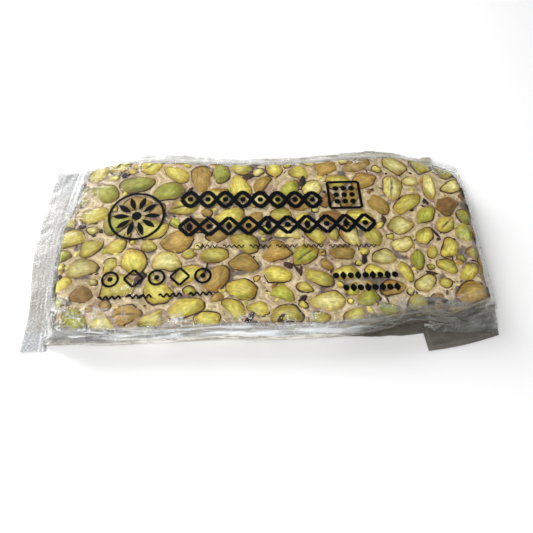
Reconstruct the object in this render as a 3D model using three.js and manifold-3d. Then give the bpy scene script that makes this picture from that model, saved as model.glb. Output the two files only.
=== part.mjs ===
// A pistachio nougat bar sealed in a clear film pouch, lying flat with its printed side up.
// Millimetres, +Z up, +X along the bar. The origin is on the table under the middle of the pouch.
import * as THREE from 'three';
import { mergeVertices } from 'three/addons/utils/BufferGeometryUtils.js';
import Module from 'manifold-3d';

// The bar: a slab cut from a larger sheet, with slightly rounded top edges
const SLAB_LENGTH = 198;
const SLAB_TOP = 15.0;
const SHOULDER_DROP = 1.9;
const SHOULDER_INSET = 1.3;

// The edges of its top face are hand cut. Each is a list of knots that a smooth curve goes through:
// [x, y] for the near and far sides, [y, x] for the two ends.
const SLAB_NEAR = [[-92, -44.6], [-70, -45.6], [-20, -45.2], [10, -46.2], [48, -45.2], [75, -41.2],
  [89, -42.2], [107, -37.0]];
const SLAB_FAR = [[-92, 41.5], [-70, 47.4], [-45, 46.6], [-12, 44.6], [22, 44.3], [54, 46.6],
  [78, 46.4], [93, 40.5], [107, 33.5]];
const SLAB_LEFT = [[-46, -89.5], [-31, -92.5], [-4, -94.4], [8, -94.0], [19, -90.2], [47, -86.0]];
const SLAB_RIGHT = [[-42, 104.6], [-14, 105.4], [12, 107.2], [34, 105.6], [47, 99.0]];

// Film drawn tight down the near side, with a crease at half height
const SHOULDER_REACH = 0.5;
const NEAR_CREASE_HEIGHT = 8.0;
const NEAR_CREASE_REACH = 2.3;
const NEAR_FOOT_REACH = 2.6;

// Margin of film that stands out from the far side at half height, knots [x, y] along its edge
const MARGIN_FAR = [[-101, 50.5], [-88, 49.0], [-71, 56.58], [-50, 56.5], [-14, 52.9], [14, 52.7],
  [40, 53.4], [58, 55.4], [80, 54.6], [96, 50.4], [106, 50.0], [112, 43.0]];
const MARGIN_HEIGHT = 7.6;
const MARGIN_THICKNESS = 1.0;
const MARGIN_ROOT_HALF = 2.6;
const FAR_WALL_REACH = 1.4;

// Flat end seal at the left, lying on the table, knots [y, x]
const FIN_OUTER = [[-50, -109.5], [-30, -109.2], [-4, -112.5], [14, -112.3], [40, -110.4], [52, -109.0]];
const FIN_INNER = [[-50, -99.5], [-16, -101.4], [12, -100.2], [40, -96.3], [52, -94.5]];
const FIN_NEAR_END = -49.9;
const FIN_FAR_END = 51.4;
const FIN_THICKNESS = 0.9;
const FIN_OVERLAP = 3.0;
const FIN_STEPS = 14;

// Film slopes from the bar's left edge down to the seal, past this point on the way
const SLOPE_SHARE = 0.45;
const SLOPE_HEIGHT = 6.3;

// Film drawn round the right end to a folded edge at half height, knots [y, x]
const FILM_RIGHT = [[-46, 109.6], [-24, 110.9], [0, 111.2], [24, 112.7], [42, 110.8], [52, 106.0]];
const RIGHT_EDGE_HEIGHT = 8.0;
const RIGHT_EDGE_THICKNESS = 1.4;
const RIGHT_BULGE_SHARE = 0.6;
const RIGHT_BULGE = [2.4, 11.2];

// The right end seal is folded under the bar, and its corner sticks out at the near side
const FLAP_THICKNESS = 0.9;
const FLAP_CORNERS = [[75.3, -42], [76.5, -57.2], [93, -55.2], [111.4, -50.6], [109.6, -38], [96, -36]];

// Steps along the bar and across it
const BODY_STEPS = 22;
const RING_STEPS = 7;

// Pistachio kernels, cut flush with the top face and standing a little proud of the nougat
const KERNEL_COUNT = 200;
const KERNEL_LONGEST = 17.5;
const KERNEL_SHORTEST = 6.0;
const KERNEL_SIZE_FALL = 0.7;
const KERNEL_LENGTH_SPREAD = [0.92, 1.08];
const KERNEL_WIDTH_SHARE = [0.58, 0.78];
const KERNEL_TAPER = 0.3;
const KERNEL_BEND = 0.14;
const KERNEL_GAP = 0.4;
const KERNEL_RISE = 0.5;
const KERNEL_ROOT = 0.8;
const KERNEL_TOP_SHARE = 0.86;
const KERNEL_SIDES = 10;
const SHORTEST_SIDE = 0.3;

// How they are placed: seeded tries, each kept inside the edges, with neighbours within reach compared
const KERNEL_SEED = 20261;
const PLACING_TRIES = 500;
const PLACING_X = [-95, 108];
const PLACING_Y = [-47, 49];
const PLACING_INSET = 1.5;
const NEIGHBOUR_REACH = 24;
const NEIGHBOUR_SOFTNESS = 0.5;
const END_CIRCLE_SHARE = 0.74;

// Kernels that stand out on the bar, the rest fill in round them: [x, y, length, width, turn in degrees]
const LANDMARK_KERNELS = [
  [93, -36, 17, 12, 4],
  [-81, 39, 13, 9, 62],
  [-60, 32, 19, 11, 14],
  [-41, 38, 16, 9, -30],
  [-28, 34, 18, 11, -86],
  [-79, -5, 13, 9, 40],
  [-80, -29, 11, 10.5, 0],
  [-59, -39, 13, 11, 0],
  [-33, -37, 17, 10, 20],
  [-43, -14, 14, 11, 0],
  [-21, -11, 15, 9, 4],
  [30, -36, 17, 10, 4],
  [70, 25, 17, 11, 80],
  [76, 15, 18, 9, 38],
  [90, 25, 17, 9, 88],
  [54, 40, 17, 9, 26],
];

const MERGE_DISTANCE = 1e-4;
const PACK_COLOUR = 0xcdbf86;
const PACK_ROUGHNESS = 0.35;

// A smooth curve through knots [along, across], as a function of the distance along
function curveThrough(knots) {
  return function across(along) {
    const last = knots.length - 1;
    const inside = Math.min(Math.max(along, knots[0][0]), knots[last][0]);
    let i = 0;
    while (i < last - 1 && inside > knots[i + 1][0]) {
      i += 1;
    }
    const slope = (j) => {
      const before = knots[Math.max(j - 1, 0)];
      const after = knots[Math.min(j + 1, last)];
      return (after[1] - before[1]) / (after[0] - before[0]);
    };
    const span = knots[i + 1][0] - knots[i][0];
    const t = (inside - knots[i][0]) / span;
    const blend = 3 * t ** 2 - 2 * t ** 3;
    const between = knots[i][1] * (1 - blend) + knots[i + 1][1] * blend;
    return between + span * (slope(i) * (t ** 3 - 2 * t ** 2 + t) + slope(i + 1) * (t ** 3 - t ** 2));
  };
}

const mix = THREE.MathUtils.lerp;
const slabNear = curveThrough(SLAB_NEAR);
const slabFar = curveThrough(SLAB_FAR);
const slabLeft = curveThrough(SLAB_LEFT);
const slabRight = curveThrough(SLAB_RIGHT);
const marginFar = curveThrough(MARGIN_FAR);
const finOuter = curveThrough(FIN_OUTER);
const finInner = curveThrough(FIN_INNER);
const filmRight = curveThrough(FILM_RIGHT);

// Random numbers from 0 to 1 that are the same on every run
function seededRandom(seed) {
  let state = seed;
  return function draw() {
    state = (Math.imul(state, 1664525) + 1013904223) >>> 0;
    return state / 4294967296;
  };
}

// One ring round the pouch between two heights. endX gives the ring's place along X for each y.
function pouchRing(endX, bottom, top) {
  const near = slabNear(endX(0));
  const far = slabFar(endX(0));
  const edge = marginFar(endX(0));
  const scale = (top - bottom) / SLAB_TOP;
  const level = (z) => bottom + z * scale;
  const half = Math.min(MARGIN_THICKNESS / 2, scale * MARGIN_ROOT_HALF);
  const across = (start, end, z) => (
    Array.from({ length: RING_STEPS + 1 }, (_, i) => [mix(start, end, i / RING_STEPS), z])
  );
  const section = [
    [near - NEAR_CREASE_REACH, level(NEAR_CREASE_HEIGHT)],
    [near - SHOULDER_REACH, level(SLAB_TOP - SHOULDER_DROP)],
    ...across(near + SHOULDER_INSET, far - SHOULDER_INSET, top),
    [far + SHOULDER_REACH, level(SLAB_TOP - SHOULDER_DROP)],
    [far + FAR_WALL_REACH, level(MARGIN_HEIGHT + MARGIN_ROOT_HALF)],
    [edge, level(MARGIN_HEIGHT) + half],
    [edge, level(MARGIN_HEIGHT) - half],
    [far + FAR_WALL_REACH, level(MARGIN_HEIGHT - MARGIN_ROOT_HALF)],
    ...across(far + SHOULDER_REACH, near - NEAR_FOOT_REACH, bottom),
  ];
  return section.map(([y, z]) => new THREE.Vector3(endX(y), y, z));
}

// A closed skin over rings that all have as many points. capFaces gives the triangles of an end.
function loft(rings, capFaces) {
  const around = rings[0].length;
  const faces = [];
  for (let r = 0; r + 1 < rings.length; r += 1) {
    for (let i = 0; i < around; i += 1) {
      const a = r * around + i;
      const b = r * around + (i + 1) % around;
      faces.push(a, a + around, b, b, a + around, b + around);
    }
  }
  const last = (rings.length - 1) * around;
  for (const [a, b, c] of capFaces(rings[0])) faces.push(a, b, c);
  for (const [a, b, c] of capFaces(rings[rings.length - 1])) faces.push(last + a, last + c, last + b);
  const geometry = new THREE.BufferGeometry();
  const positions = rings.flat().flatMap((point) => point.toArray());
  geometry.setAttribute('position', new THREE.Float32BufferAttribute(positions, 3));
  geometry.setIndex(faces);
  return geometry;
}

// Closes a ring that stands across the bar, whose outline may be hollow
function crossSectionCap(ring) {
  const outline = ring.map((p) => new THREE.Vector2(p.y, p.z));
  const triangles = THREE.ShapeUtils.triangulateShape(outline, []);
  return THREE.ShapeUtils.isClockWise(outline) ? triangles.map(([a, b, c]) => [a, c, b]) : triangles;
}

// Closes a ring with no hollow in it by a fan from its first point
function fanCap(ring) {
  return ring.slice(2).map((_, i) => [0, i + 1, i + 2]);
}

// The film drawn tight over the bar: wedge at the fin, full section along the bar, folded edge at the right
function pouchBody() {
  const between = (share) => (y) => mix(slabLeft(y), slabRight(y), share);
  const rings = [
    pouchRing((y) => finInner(y) - FIN_OVERLAP, 0, FIN_THICKNESS),
    pouchRing((y) => mix(finInner(y), slabLeft(y), SLOPE_SHARE), 0, SLOPE_HEIGHT),
    pouchRing((y) => slabLeft(y) - SHOULDER_REACH, 0, SLAB_TOP - SHOULDER_DROP),
  ];
  const first = SHOULDER_INSET / SLAB_LENGTH;
  for (let i = 0; i <= BODY_STEPS; i += 1) {
    rings.push(pouchRing(between(mix(first, 1 - first, i / BODY_STEPS)), 0, SLAB_TOP));
  }
  rings.push(pouchRing((y) => slabRight(y) + SHOULDER_REACH, 0, SLAB_TOP - SHOULDER_DROP));
  rings.push(pouchRing((y) => mix(slabRight(y), filmRight(y), RIGHT_BULGE_SHARE), ...RIGHT_BULGE));
  rings.push(pouchRing(filmRight, RIGHT_EDGE_HEIGHT - RIGHT_EDGE_THICKNESS, RIGHT_EDGE_HEIGHT));
  return loft(rings, crossSectionCap);
}

// A sheet of film of even thickness lying on the table, from its corners in order
function flatSheet(corners, thickness) {
  const shape = new THREE.Shape(corners.map(([x, y]) => new THREE.Vector2(x, y)));
  return new THREE.ExtrudeGeometry(shape, { depth: thickness, bevelEnabled: false });
}

function sealFin() {
  const corners = [];
  for (let i = 0; i <= FIN_STEPS; i += 1) {
    const y = mix(FIN_NEAR_END, FIN_FAR_END, i / FIN_STEPS);
    corners.push([finInner(y) + FIN_OVERLAP, y]);
  }
  for (let i = FIN_STEPS; i >= 0; i -= 1) {
    const y = mix(FIN_NEAR_END, FIN_FAR_END, i / FIN_STEPS);
    corners.push([finOuter(y), y]);
  }
  return flatSheet(corners, FIN_THICKNESS);
}

// The outline of a kernel's cut face: an oval that narrows to one end and bends a little
function kernelPoint(kernel, angle) {
  const along = kernel.length / 2 * Math.cos(angle);
  const narrowed = kernel.width / 2 * Math.sin(angle) * (1 + kernel.taper * Math.cos(angle));
  const across = narrowed + kernel.bend * kernel.width * (Math.cos(angle) ** 2 - 0.5);
  const turnCos = Math.cos(kernel.turn);
  const turnSin = Math.sin(kernel.turn);
  return new THREE.Vector2(
    kernel.x + along * turnCos - across * turnSin,
    kernel.y + along * turnSin + across * turnCos,
  );
}

// Three circles along a kernel stand for it while the kernels are placed
function kernelCircles({ x, y, length, width, turn }) {
  const endRadius = width / 2 * END_CIRCLE_SHARE;
  const ends = length / 2 - endRadius;
  const place = (offset, radius) => (
    { x: x + offset * Math.cos(turn), y: y + offset * Math.sin(turn), radius }
  );
  return [place(-ends, endRadius), place(0, width / 2), place(ends, endRadius)];
}

function clearance(circles, others) {
  let least = Infinity;
  for (const a of circles) {
    for (const b of others) {
      least = Math.min(least, Math.hypot(a.x - b.x, a.y - b.y) - a.radius - b.radius);
    }
  }
  return least;
}

// How closely a kernel would sit between its neighbours, or -1 where it would touch one
function crowding(kernel, placed) {
  let sum = 0;
  for (const other of placed) {
    if (Math.hypot(other.x - kernel.x, other.y - kernel.y) < NEIGHBOUR_REACH) {
      const gap = clearance(kernel.circles, other.circles);
      if (gap < KERNEL_GAP) {
        return -1;
      }
      sum += 1 / (gap + NEIGHBOUR_SOFTNESS);
    }
  }
  return sum;
}

function onTopFace({ x, y }) {
  const within = (value, low, high) => value > low + PLACING_INSET && value < high - PLACING_INSET;
  return within(y, slabNear(x), slabFar(x)) && within(x, slabLeft(y), slabRight(y));
}

// The best of many random places for a kernel of a given size, or null where none is free
function findPlace(length, width, placed, draw) {
  let best = null;
  let closest = 0;
  for (let attempt = 0; attempt < PLACING_TRIES; attempt += 1) {
    const x = mix(...PLACING_X, draw());
    const y = mix(...PLACING_Y, draw());
    const turn = (draw() + draw() - 1) * Math.PI / 2;
    const kernel = { x, y, length, width, turn };
    kernel.circles = kernelCircles(kernel);
    const closeness = onTopFace(kernel) ? crowding(kernel, placed) : -1;
    if (closeness > closest) {
      closest = closeness;
      best = kernel;
    }
  }
  return best;
}

// Places the kernels, largest first, each where it fits most closely between those already there
function placeKernels() {
  const draw = seededRandom(KERNEL_SEED);
  const placed = LANDMARK_KERNELS.map(([x, y, length, width, degrees]) => {
    const kernel = { x, y, length, width, turn: THREE.MathUtils.degToRad(degrees) };
    return { ...kernel, circles: kernelCircles(kernel) };
  });
  for (let i = 0; i < KERNEL_COUNT; i += 1) {
    const usual = mix(KERNEL_LONGEST, KERNEL_SHORTEST, (i / KERNEL_COUNT) ** KERNEL_SIZE_FALL);
    const length = usual * mix(...KERNEL_LENGTH_SPREAD, draw());
    const slimmest = length * mix(...KERNEL_WIDTH_SHARE, draw());
    const width = slimmest + 1 - length / KERNEL_LONGEST;
    const kernel = findPlace(length, width, placed, draw);
    if (kernel) {
      placed.push(kernel);
    }
  }
  for (const kernel of placed) {
    kernel.taper = mix(-KERNEL_TAPER, KERNEL_TAPER, draw());
    kernel.bend = mix(-KERNEL_BEND, KERNEL_BEND, draw());
  }
  return placed;
}

// Moves a point back onto the bar's top face, so that kernels at its edges end in the cut side
function ontoTopFace(point) {
  const { clamp } = THREE.MathUtils;
  const y = clamp(point.y, slabNear(point.x) + PLACING_INSET, slabFar(point.x) - PLACING_INSET);
  const x = clamp(point.x, slabLeft(y) + PLACING_INSET, slabRight(y) - PLACING_INSET);
  return new THREE.Vector2(x, y);
}

// A low flat-topped form that stands on the top face where a kernel is cut through
function kernelForm(kernel) {
  const rim = [];
  for (let i = 0; i < KERNEL_SIDES; i += 1) {
    const point = ontoTopFace(kernelPoint(kernel, i / KERNEL_SIDES * 2 * Math.PI));
    if (rim.every((other) => other.distanceTo(point) > SHORTEST_SIDE)) {
      rim.push(point);
    }
  }
  const middle = rim.reduce((sum, point) => sum.add(point), new THREE.Vector2()).divideScalar(rim.length);
  const ring = (share, z) => rim.map((point) => {
    const { x, y } = middle.clone().lerp(point, share);
    return new THREE.Vector3(x, y, z);
  });
  return loft([ring(1, SLAB_TOP - KERNEL_ROOT), ring(KERNEL_TOP_SHARE, SLAB_TOP + KERNEL_RISE)], fanCap);
}

const wasm = await Module();
wasm.setup();

function signedVolume(positions, triangles) {
  const [a, b, c] = [new THREE.Vector3(), new THREE.Vector3(), new THREE.Vector3()];
  let sixfold = 0;
  for (let i = 0; i < triangles.length; i += 3) {
    a.fromArray(positions, triangles[i] * 3);
    b.fromArray(positions, triangles[i + 1] * 3);
    c.fromArray(positions, triangles[i + 2] * 3);
    sixfold += a.dot(b.cross(c));
  }
  return sixfold / 6;
}

// The same shape as a closed solid with its faces pointing out, which can be joined to others
function solidOf(geometry) {
  const bare = geometry.clone();
  bare.deleteAttribute('normal');
  bare.deleteAttribute('uv');
  const merged = mergeVertices(bare, MERGE_DISTANCE);
  const vertProperties = new Float32Array(merged.attributes.position.array);
  const triVerts = new Uint32Array(merged.index.array);
  if (signedVolume(vertProperties, triVerts) < 0) {
    for (let i = 0; i < triVerts.length; i += 3) {
      [triVerts[i + 1], triVerts[i + 2]] = [triVerts[i + 2], triVerts[i + 1]];
    }
  }
  return new wasm.Manifold(new wasm.Mesh({ numProp: 3, vertProperties, triVerts }));
}

function geometryOf(solid) {
  const { vertProperties, triVerts } = solid.getMesh();
  const geometry = new THREE.BufferGeometry();
  geometry.setAttribute('position', new THREE.BufferAttribute(vertProperties, 3));
  geometry.setIndex(new THREE.BufferAttribute(triVerts, 1));
  geometry.computeVertexNormals();
  return geometry;
}

// Film and bar are one closed solid, because the pack is sealed
function sealedBar() {
  const flap = flatSheet(FLAP_CORNERS, FLAP_THICKNESS);
  const pieces = [pouchBody(), sealFin(), flap, ...placeKernels().map(kernelForm)];
  const joined = pieces.map(solidOf).reduce((whole, piece) => whole.add(piece));
  const finish = { color: PACK_COLOUR, roughness: PACK_ROUGHNESS, metalness: 0 };
  const mesh = new THREE.Mesh(geometryOf(joined), new THREE.MeshStandardMaterial(finish));
  mesh.name = 'sealed_nougat_bar';
  return mesh;
}

const group = new THREE.Group();
group.add(sealedBar());
export default group;
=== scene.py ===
import math

import bpy
import numpy as np
from mathutils import Matrix, Vector


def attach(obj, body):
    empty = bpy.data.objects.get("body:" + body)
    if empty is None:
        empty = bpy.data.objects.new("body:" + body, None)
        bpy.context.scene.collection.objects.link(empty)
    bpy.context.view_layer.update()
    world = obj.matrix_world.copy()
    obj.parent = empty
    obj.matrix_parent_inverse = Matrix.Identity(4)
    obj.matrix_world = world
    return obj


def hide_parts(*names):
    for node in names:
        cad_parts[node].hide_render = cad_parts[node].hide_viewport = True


# A pistachio nougat bar, vacuum sealed in a clear printed pouch, lying on a pale floor.
# Lengths are millimetres, apart from those of materials, floor and lights, which are metres. A mesh is
# turned into metres when it is made.

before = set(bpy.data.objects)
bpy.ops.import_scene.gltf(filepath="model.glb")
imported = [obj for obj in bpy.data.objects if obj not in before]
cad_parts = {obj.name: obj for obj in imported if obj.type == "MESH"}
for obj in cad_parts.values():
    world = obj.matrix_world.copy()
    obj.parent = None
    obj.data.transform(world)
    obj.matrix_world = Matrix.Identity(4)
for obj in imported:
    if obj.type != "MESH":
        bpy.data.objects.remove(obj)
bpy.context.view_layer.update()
NODE = "sealed_nougat_bar"
BODY = "root"
MILLIMETRE = 0.001

# The bar and its film, the same sizes as the solid
SLAB_TOP = 15.0
SLAB_NEAR = [(-92, -44.6), (-70, -45.6), (-20, -45.2), (10, -46.2), (48, -45.2), (75, -41.2),
             (89, -42.2), (107, -37.0)]
SLAB_FAR = [(-92, 41.5), (-70, 47.4), (-45, 46.6), (-12, 44.6), (22, 44.3), (54, 46.6),
            (78, 46.4), (93, 40.5), (107, 33.5)]
SLAB_LEFT = [(-46, -89.5), (-31, -92.5), (-4, -94.4), (8, -94.0), (19, -90.2), (47, -86.0)]
SLAB_RIGHT = [(-42, 104.6), (-14, 105.4), (12, 107.2), (34, 105.6), (47, 99.0)]
MARGIN_FAR = [(-101, 50.5), (-88, 49.0), (-71, 56.58), (-50, 56.5), (-14, 52.9), (14, 52.7),
              (40, 53.4), (58, 55.4), (80, 54.6), (96, 50.4), (106, 50.0), (112, 43.0)]
FIN_OUTER = [(-50, -109.5), (-30, -109.2), (-4, -112.5), (14, -112.3), (40, -110.4), (52, -109.0)]
FIN_INNER = [(-50, -99.5), (-16, -101.4), (12, -100.2), (40, -96.3), (52, -94.5)]
FILM_RIGHT = [(-46, 109.6), (-24, 110.9), (0, 111.2), (24, 112.7), (42, 110.8), (52, 106.0)]
FIN_ENDS = (-49.9, 51.4)

# Kernels on the top face follow the same seeded rule as the solid's. The count is of those that are tried
# besides the ones that stand out in the photograph, and not all of them fit
KERNEL_COUNT = 200
KERNEL_LONGEST = 17.5
KERNEL_SHORTEST = 6.0
KERNEL_SIZE_FALL = 0.7
KERNEL_LENGTH_SPREAD = (0.92, 1.08)
KERNEL_WIDTH_SHARE = (0.58, 0.78)
KERNEL_TAPER = 0.3
KERNEL_BEND = 0.14
KERNEL_GAP = 0.4
KERNEL_SEED = 20261
PLACING_TRIES = 500
PLACING_X = (-95, 108)
PLACING_Y = (-47, 49)
PLACING_INSET = 1.5
NEIGHBOUR_REACH = 24
NEIGHBOUR_SOFTNESS = 0.5
END_CIRCLE_SHARE = 0.74
# Kernels that stand out in the photograph: place, length, width, turn in degrees
LANDMARK_KERNELS = [
    (93, -36, 17, 12, 4),
    (-81, 39, 13, 9, 62),
    (-60, 32, 19, 11, 14),
    (-41, 38, 16, 9, -30),
    (-28, 34, 18, 11, -86),
    (-79, -5, 13, 9, 40),
    (-80, -29, 11, 10.5, 0),
    (-59, -39, 13, 11, 0),
    (-33, -37, 17, 10, 20),
    (-43, -14, 14, 11, 0),
    (-21, -11, 15, 9, 4),
    (30, -36, 17, 10, 4),
    (70, 25, 17, 11, 80),
    (76, 15, 18, 9, 38),
    (90, 25, 17, 9, 88),
    (54, 40, 17, 9, 26),
]


def mix(a, b, share):
    return a + (b - a) * share


def along_line(start, end, share):
    """The point that is a share of the way from start to end."""
    return mix(start[0], end[0], share), mix(start[1], end[1], share)


def smooth(share):
    """Eases from 0 to 1 between those two values."""
    held = np.clip(share, 0, 1)
    return held * held * (3 - 2 * held)


def curve_through(knots):
    """A smooth curve through knots (along, across), as a function of the distance along."""
    along = np.array([k[0] for k in knots], float)
    across = np.array([k[1] for k in knots], float)
    last = len(knots) - 1
    before = np.maximum(np.arange(last + 1) - 1, 0)
    after = np.minimum(np.arange(last + 1) + 1, last)
    slope = (across[after] - across[before]) / (along[after] - along[before])

    def at(value):
        inside = np.clip(value, along[0], along[-1])
        i = np.clip(np.searchsorted(along, inside, side="left") - 1, 0, last - 1)
        span = along[i + 1] - along[i]
        t = (inside - along[i]) / span
        blend = 3 * t**2 - 2 * t**3
        between = across[i] * (1 - blend) + across[i + 1] * blend
        return between + span * (slope[i] * (t**3 - 2 * t**2 + t) + slope[i + 1] * (t**3 - t**2))

    return at


slab_near = curve_through(SLAB_NEAR)
slab_far = curve_through(SLAB_FAR)
slab_left = curve_through(SLAB_LEFT)
slab_right = curve_through(SLAB_RIGHT)
margin_far = curve_through(MARGIN_FAR)
fin_outer = curve_through(FIN_OUTER)
fin_inner = curve_through(FIN_INNER)
film_right = curve_through(FILM_RIGHT)


class SeededRandom:
    """Random numbers from 0 to 1, the same on every run and the same as the solid's."""

    def __init__(self, seed):
        self.state = seed

    def draw(self):
        self.state = (self.state * 1664525 + 1013904223) & 0xFFFFFFFF
        return self.state / 4294967296

    def between(self, low, high):
        return mix(low, high, self.draw())

    def direction(self):
        return self.between(0, math.tau)


def noise(x, y, cell, seed):
    """Smooth noise from -1 to 1 with bumps about one cell wide, for arrays of points."""
    grid = np.random.default_rng(seed).uniform(-1, 1, (64, 64))
    u = np.asarray(x, float) / cell + 1000
    v = np.asarray(y, float) / cell + 1000
    i = np.floor(u).astype(int)
    j = np.floor(v).astype(int)
    a = smooth(u - i)
    b = smooth(v - j)

    def corner(di, dj):
        return grid[(i + di) % 64, (j + dj) % 64]

    low = corner(0, 0) * (1 - a) + corner(1, 0) * a
    high = corner(0, 1) * (1 - a) + corner(1, 1) * a
    return low * (1 - b) + high * b


def kernel_circles(x, y, length, width, turn):
    """Centres and radii of three circles along each kernel, as arrays of shape (n, 3)."""
    end_radius = width / 2 * END_CIRCLE_SHARE
    ends = length / 2 - end_radius
    offset = np.stack([-ends, 0 * ends, ends], -1)
    radius = np.stack([end_radius, width / 2, end_radius], -1)
    cx = np.asarray(x)[..., None] + offset * np.cos(turn)[..., None]
    cy = np.asarray(y)[..., None] + offset * np.sin(turn)[..., None]
    return cx, cy, radius


def place_kernels(random, on_face, x_range, y_range, count, tries, longest, shortest, landmarks=()):
    """Places kernels largest first, each where it fits most closely between those already there."""
    placed = [(x, y, length, width, math.radians(turn)) for x, y, length, width, turn in landmarks]
    for i in range(count):
        usual = mix(longest, shortest, (i / count) ** KERNEL_SIZE_FALL)
        length = usual * random.between(*KERNEL_LENGTH_SPREAD)
        width = length * random.between(*KERNEL_WIDTH_SHARE) + 1 - length / KERNEL_LONGEST
        draws = np.array([random.draw() for _ in range(4 * tries)]).reshape(tries, 4)
        x = mix(*x_range, draws[:, 0])
        y = mix(*y_range, draws[:, 1])
        turn = (draws[:, 2] + draws[:, 3] - 1) * math.pi / 2
        fits = on_face(x, y)
        closeness = np.zeros(tries)
        if placed:
            others = np.array(placed)
            ox, oy, oradius = kernel_circles(*others.T)
            cx, cy, radius = kernel_circles(x, y, np.full(tries, length), np.full(tries, width), turn)
            apart = np.hypot(others[None, :, 0] - x[:, None], others[None, :, 1] - y[:, None])
            near = apart < NEIGHBOUR_REACH
            gap = np.full(near.shape, np.inf)
            for a in range(3):
                for b in range(3):
                    apart = np.hypot(cx[:, None, a] - ox[None, :, b], cy[:, None, a] - oy[None, :, b])
                    gap = np.minimum(gap, apart - radius[:, None, a] - oradius[None, :, b])
            fits &= ~np.any(near & (gap < KERNEL_GAP), axis=1)
            closeness = np.where(near, 1 / (np.maximum(gap, 0) + NEIGHBOUR_SOFTNESS), 0).sum(1)
        closeness = np.where(fits, closeness + (0 if placed else 1), 0)
        if closeness.max() > 0:
            best = int(closeness.argmax())
            placed.append((x[best], y[best], length, width, turn[best]))
    return [
        {"x": x, "y": y, "length": length, "width": width, "turn": turn,
         "taper": random.between(-KERNEL_TAPER, KERNEL_TAPER),
         "bend": random.between(-KERNEL_BEND, KERNEL_BEND)}
        for x, y, length, width, turn in placed
    ]


def on_top_face(x, y):
    across = (y > slab_near(x) + PLACING_INSET) & (y < slab_far(x) - PLACING_INSET)
    return across & (x > slab_left(y) + PLACING_INSET) & (x < slab_right(y) - PLACING_INSET)


top_kernels = place_kernels(SeededRandom(KERNEL_SEED), on_top_face, PLACING_X, PLACING_Y, KERNEL_COUNT,
                            PLACING_TRIES, KERNEL_LONGEST, KERNEL_SHORTEST, LANDMARK_KERNELS)
# The large kernel in the near right corner is nearer the edge here than in the solid
CORNER_KERNEL = {"x": 97.0, "y": -35.4, "length": 17.8, "width": 13.2, "taper": 0.12, "bend": 0.0}
top_kernels[0].update(CORNER_KERNEL)


# Meshes

def make_piece(name, points, faces, material, layers=None):
    """A smooth piece that rides on the body, from points in millimetres and named values for each."""
    mesh = bpy.data.meshes.new(name)
    mesh.from_pydata((np.asarray(points, float) * MILLIMETRE).tolist(), [], faces)
    for key, values in (layers or {}).items():
        values = np.asarray(values, np.float32)
        if values.ndim == 1:
            mesh.attributes.new(key, "FLOAT", "POINT").data.foreach_set("value", values)
        else:
            mesh.attributes.new(key, "FLOAT_VECTOR", "POINT").data.foreach_set("vector", values.ravel())
    mesh.polygons.foreach_set("use_smooth", [True] * len(mesh.polygons))
    mesh.materials.append(material)
    mesh.update()
    piece = bpy.data.objects.new(name, mesh)
    bpy.context.scene.collection.objects.link(piece)
    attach(piece, BODY)
    return piece


class MeshParts:
    """Collects many small shapes into the points, faces and layers of one piece."""

    def __init__(self):
        self.points = []
        self.faces = []
        self.layers = {}
        self.count = 0

    def add(self, points, faces, **layers):
        points = np.asarray(points, float)
        self.points.append(points)
        self.faces += [[self.count + i for i in face] for face in faces]
        for key, values in layers.items():
            self.layers.setdefault(key, []).append(values)
        self.count += len(points)

    def piece(self, name, material, slot):
        layers = {key: np.concatenate(kept) for key, kept in self.layers.items()}
        return make_piece(name, np.concatenate(self.points), self.faces, material, layers)


def grid_shares(rows, columns):
    """Shares from 0 to 1 down the rows and along the columns of a grid."""
    return np.linspace(0, 1, rows)[:, None], np.linspace(0, 1, columns)[None, :]


def grid_faces(rows, columns, close_rows=False, close_columns=False, flip=False):
    """Quads of a grid whose point (r, c) has the number r * columns + c."""
    faces = []
    for r in range(rows if close_rows else rows - 1):
        below = (r + 1) % rows
        for c in range(columns if close_columns else columns - 1):
            after = (c + 1) % columns
            quad = [r * columns + c, r * columns + after, below * columns + after, below * columns + c]
            faces.append(quad[::-1] if flip else quad)
    return faces


# Colours

def srgb(red, green, blue):
    """A colour given as 0 to 255, in the linear values that shaders take."""
    shares = (red / 255, green / 255, blue / 255)
    return tuple(c / 12.92 if c <= 0.04045 else ((c + 0.055) / 1.055) ** 2.4 for c in shares)


def blended(colours, share, other):
    """Colours of points, each moved towards another colour by its share."""
    colours = np.asarray(colours)
    return colours + (np.asarray(other) - colours) * np.asarray(share)[..., None]


# Materials

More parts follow.
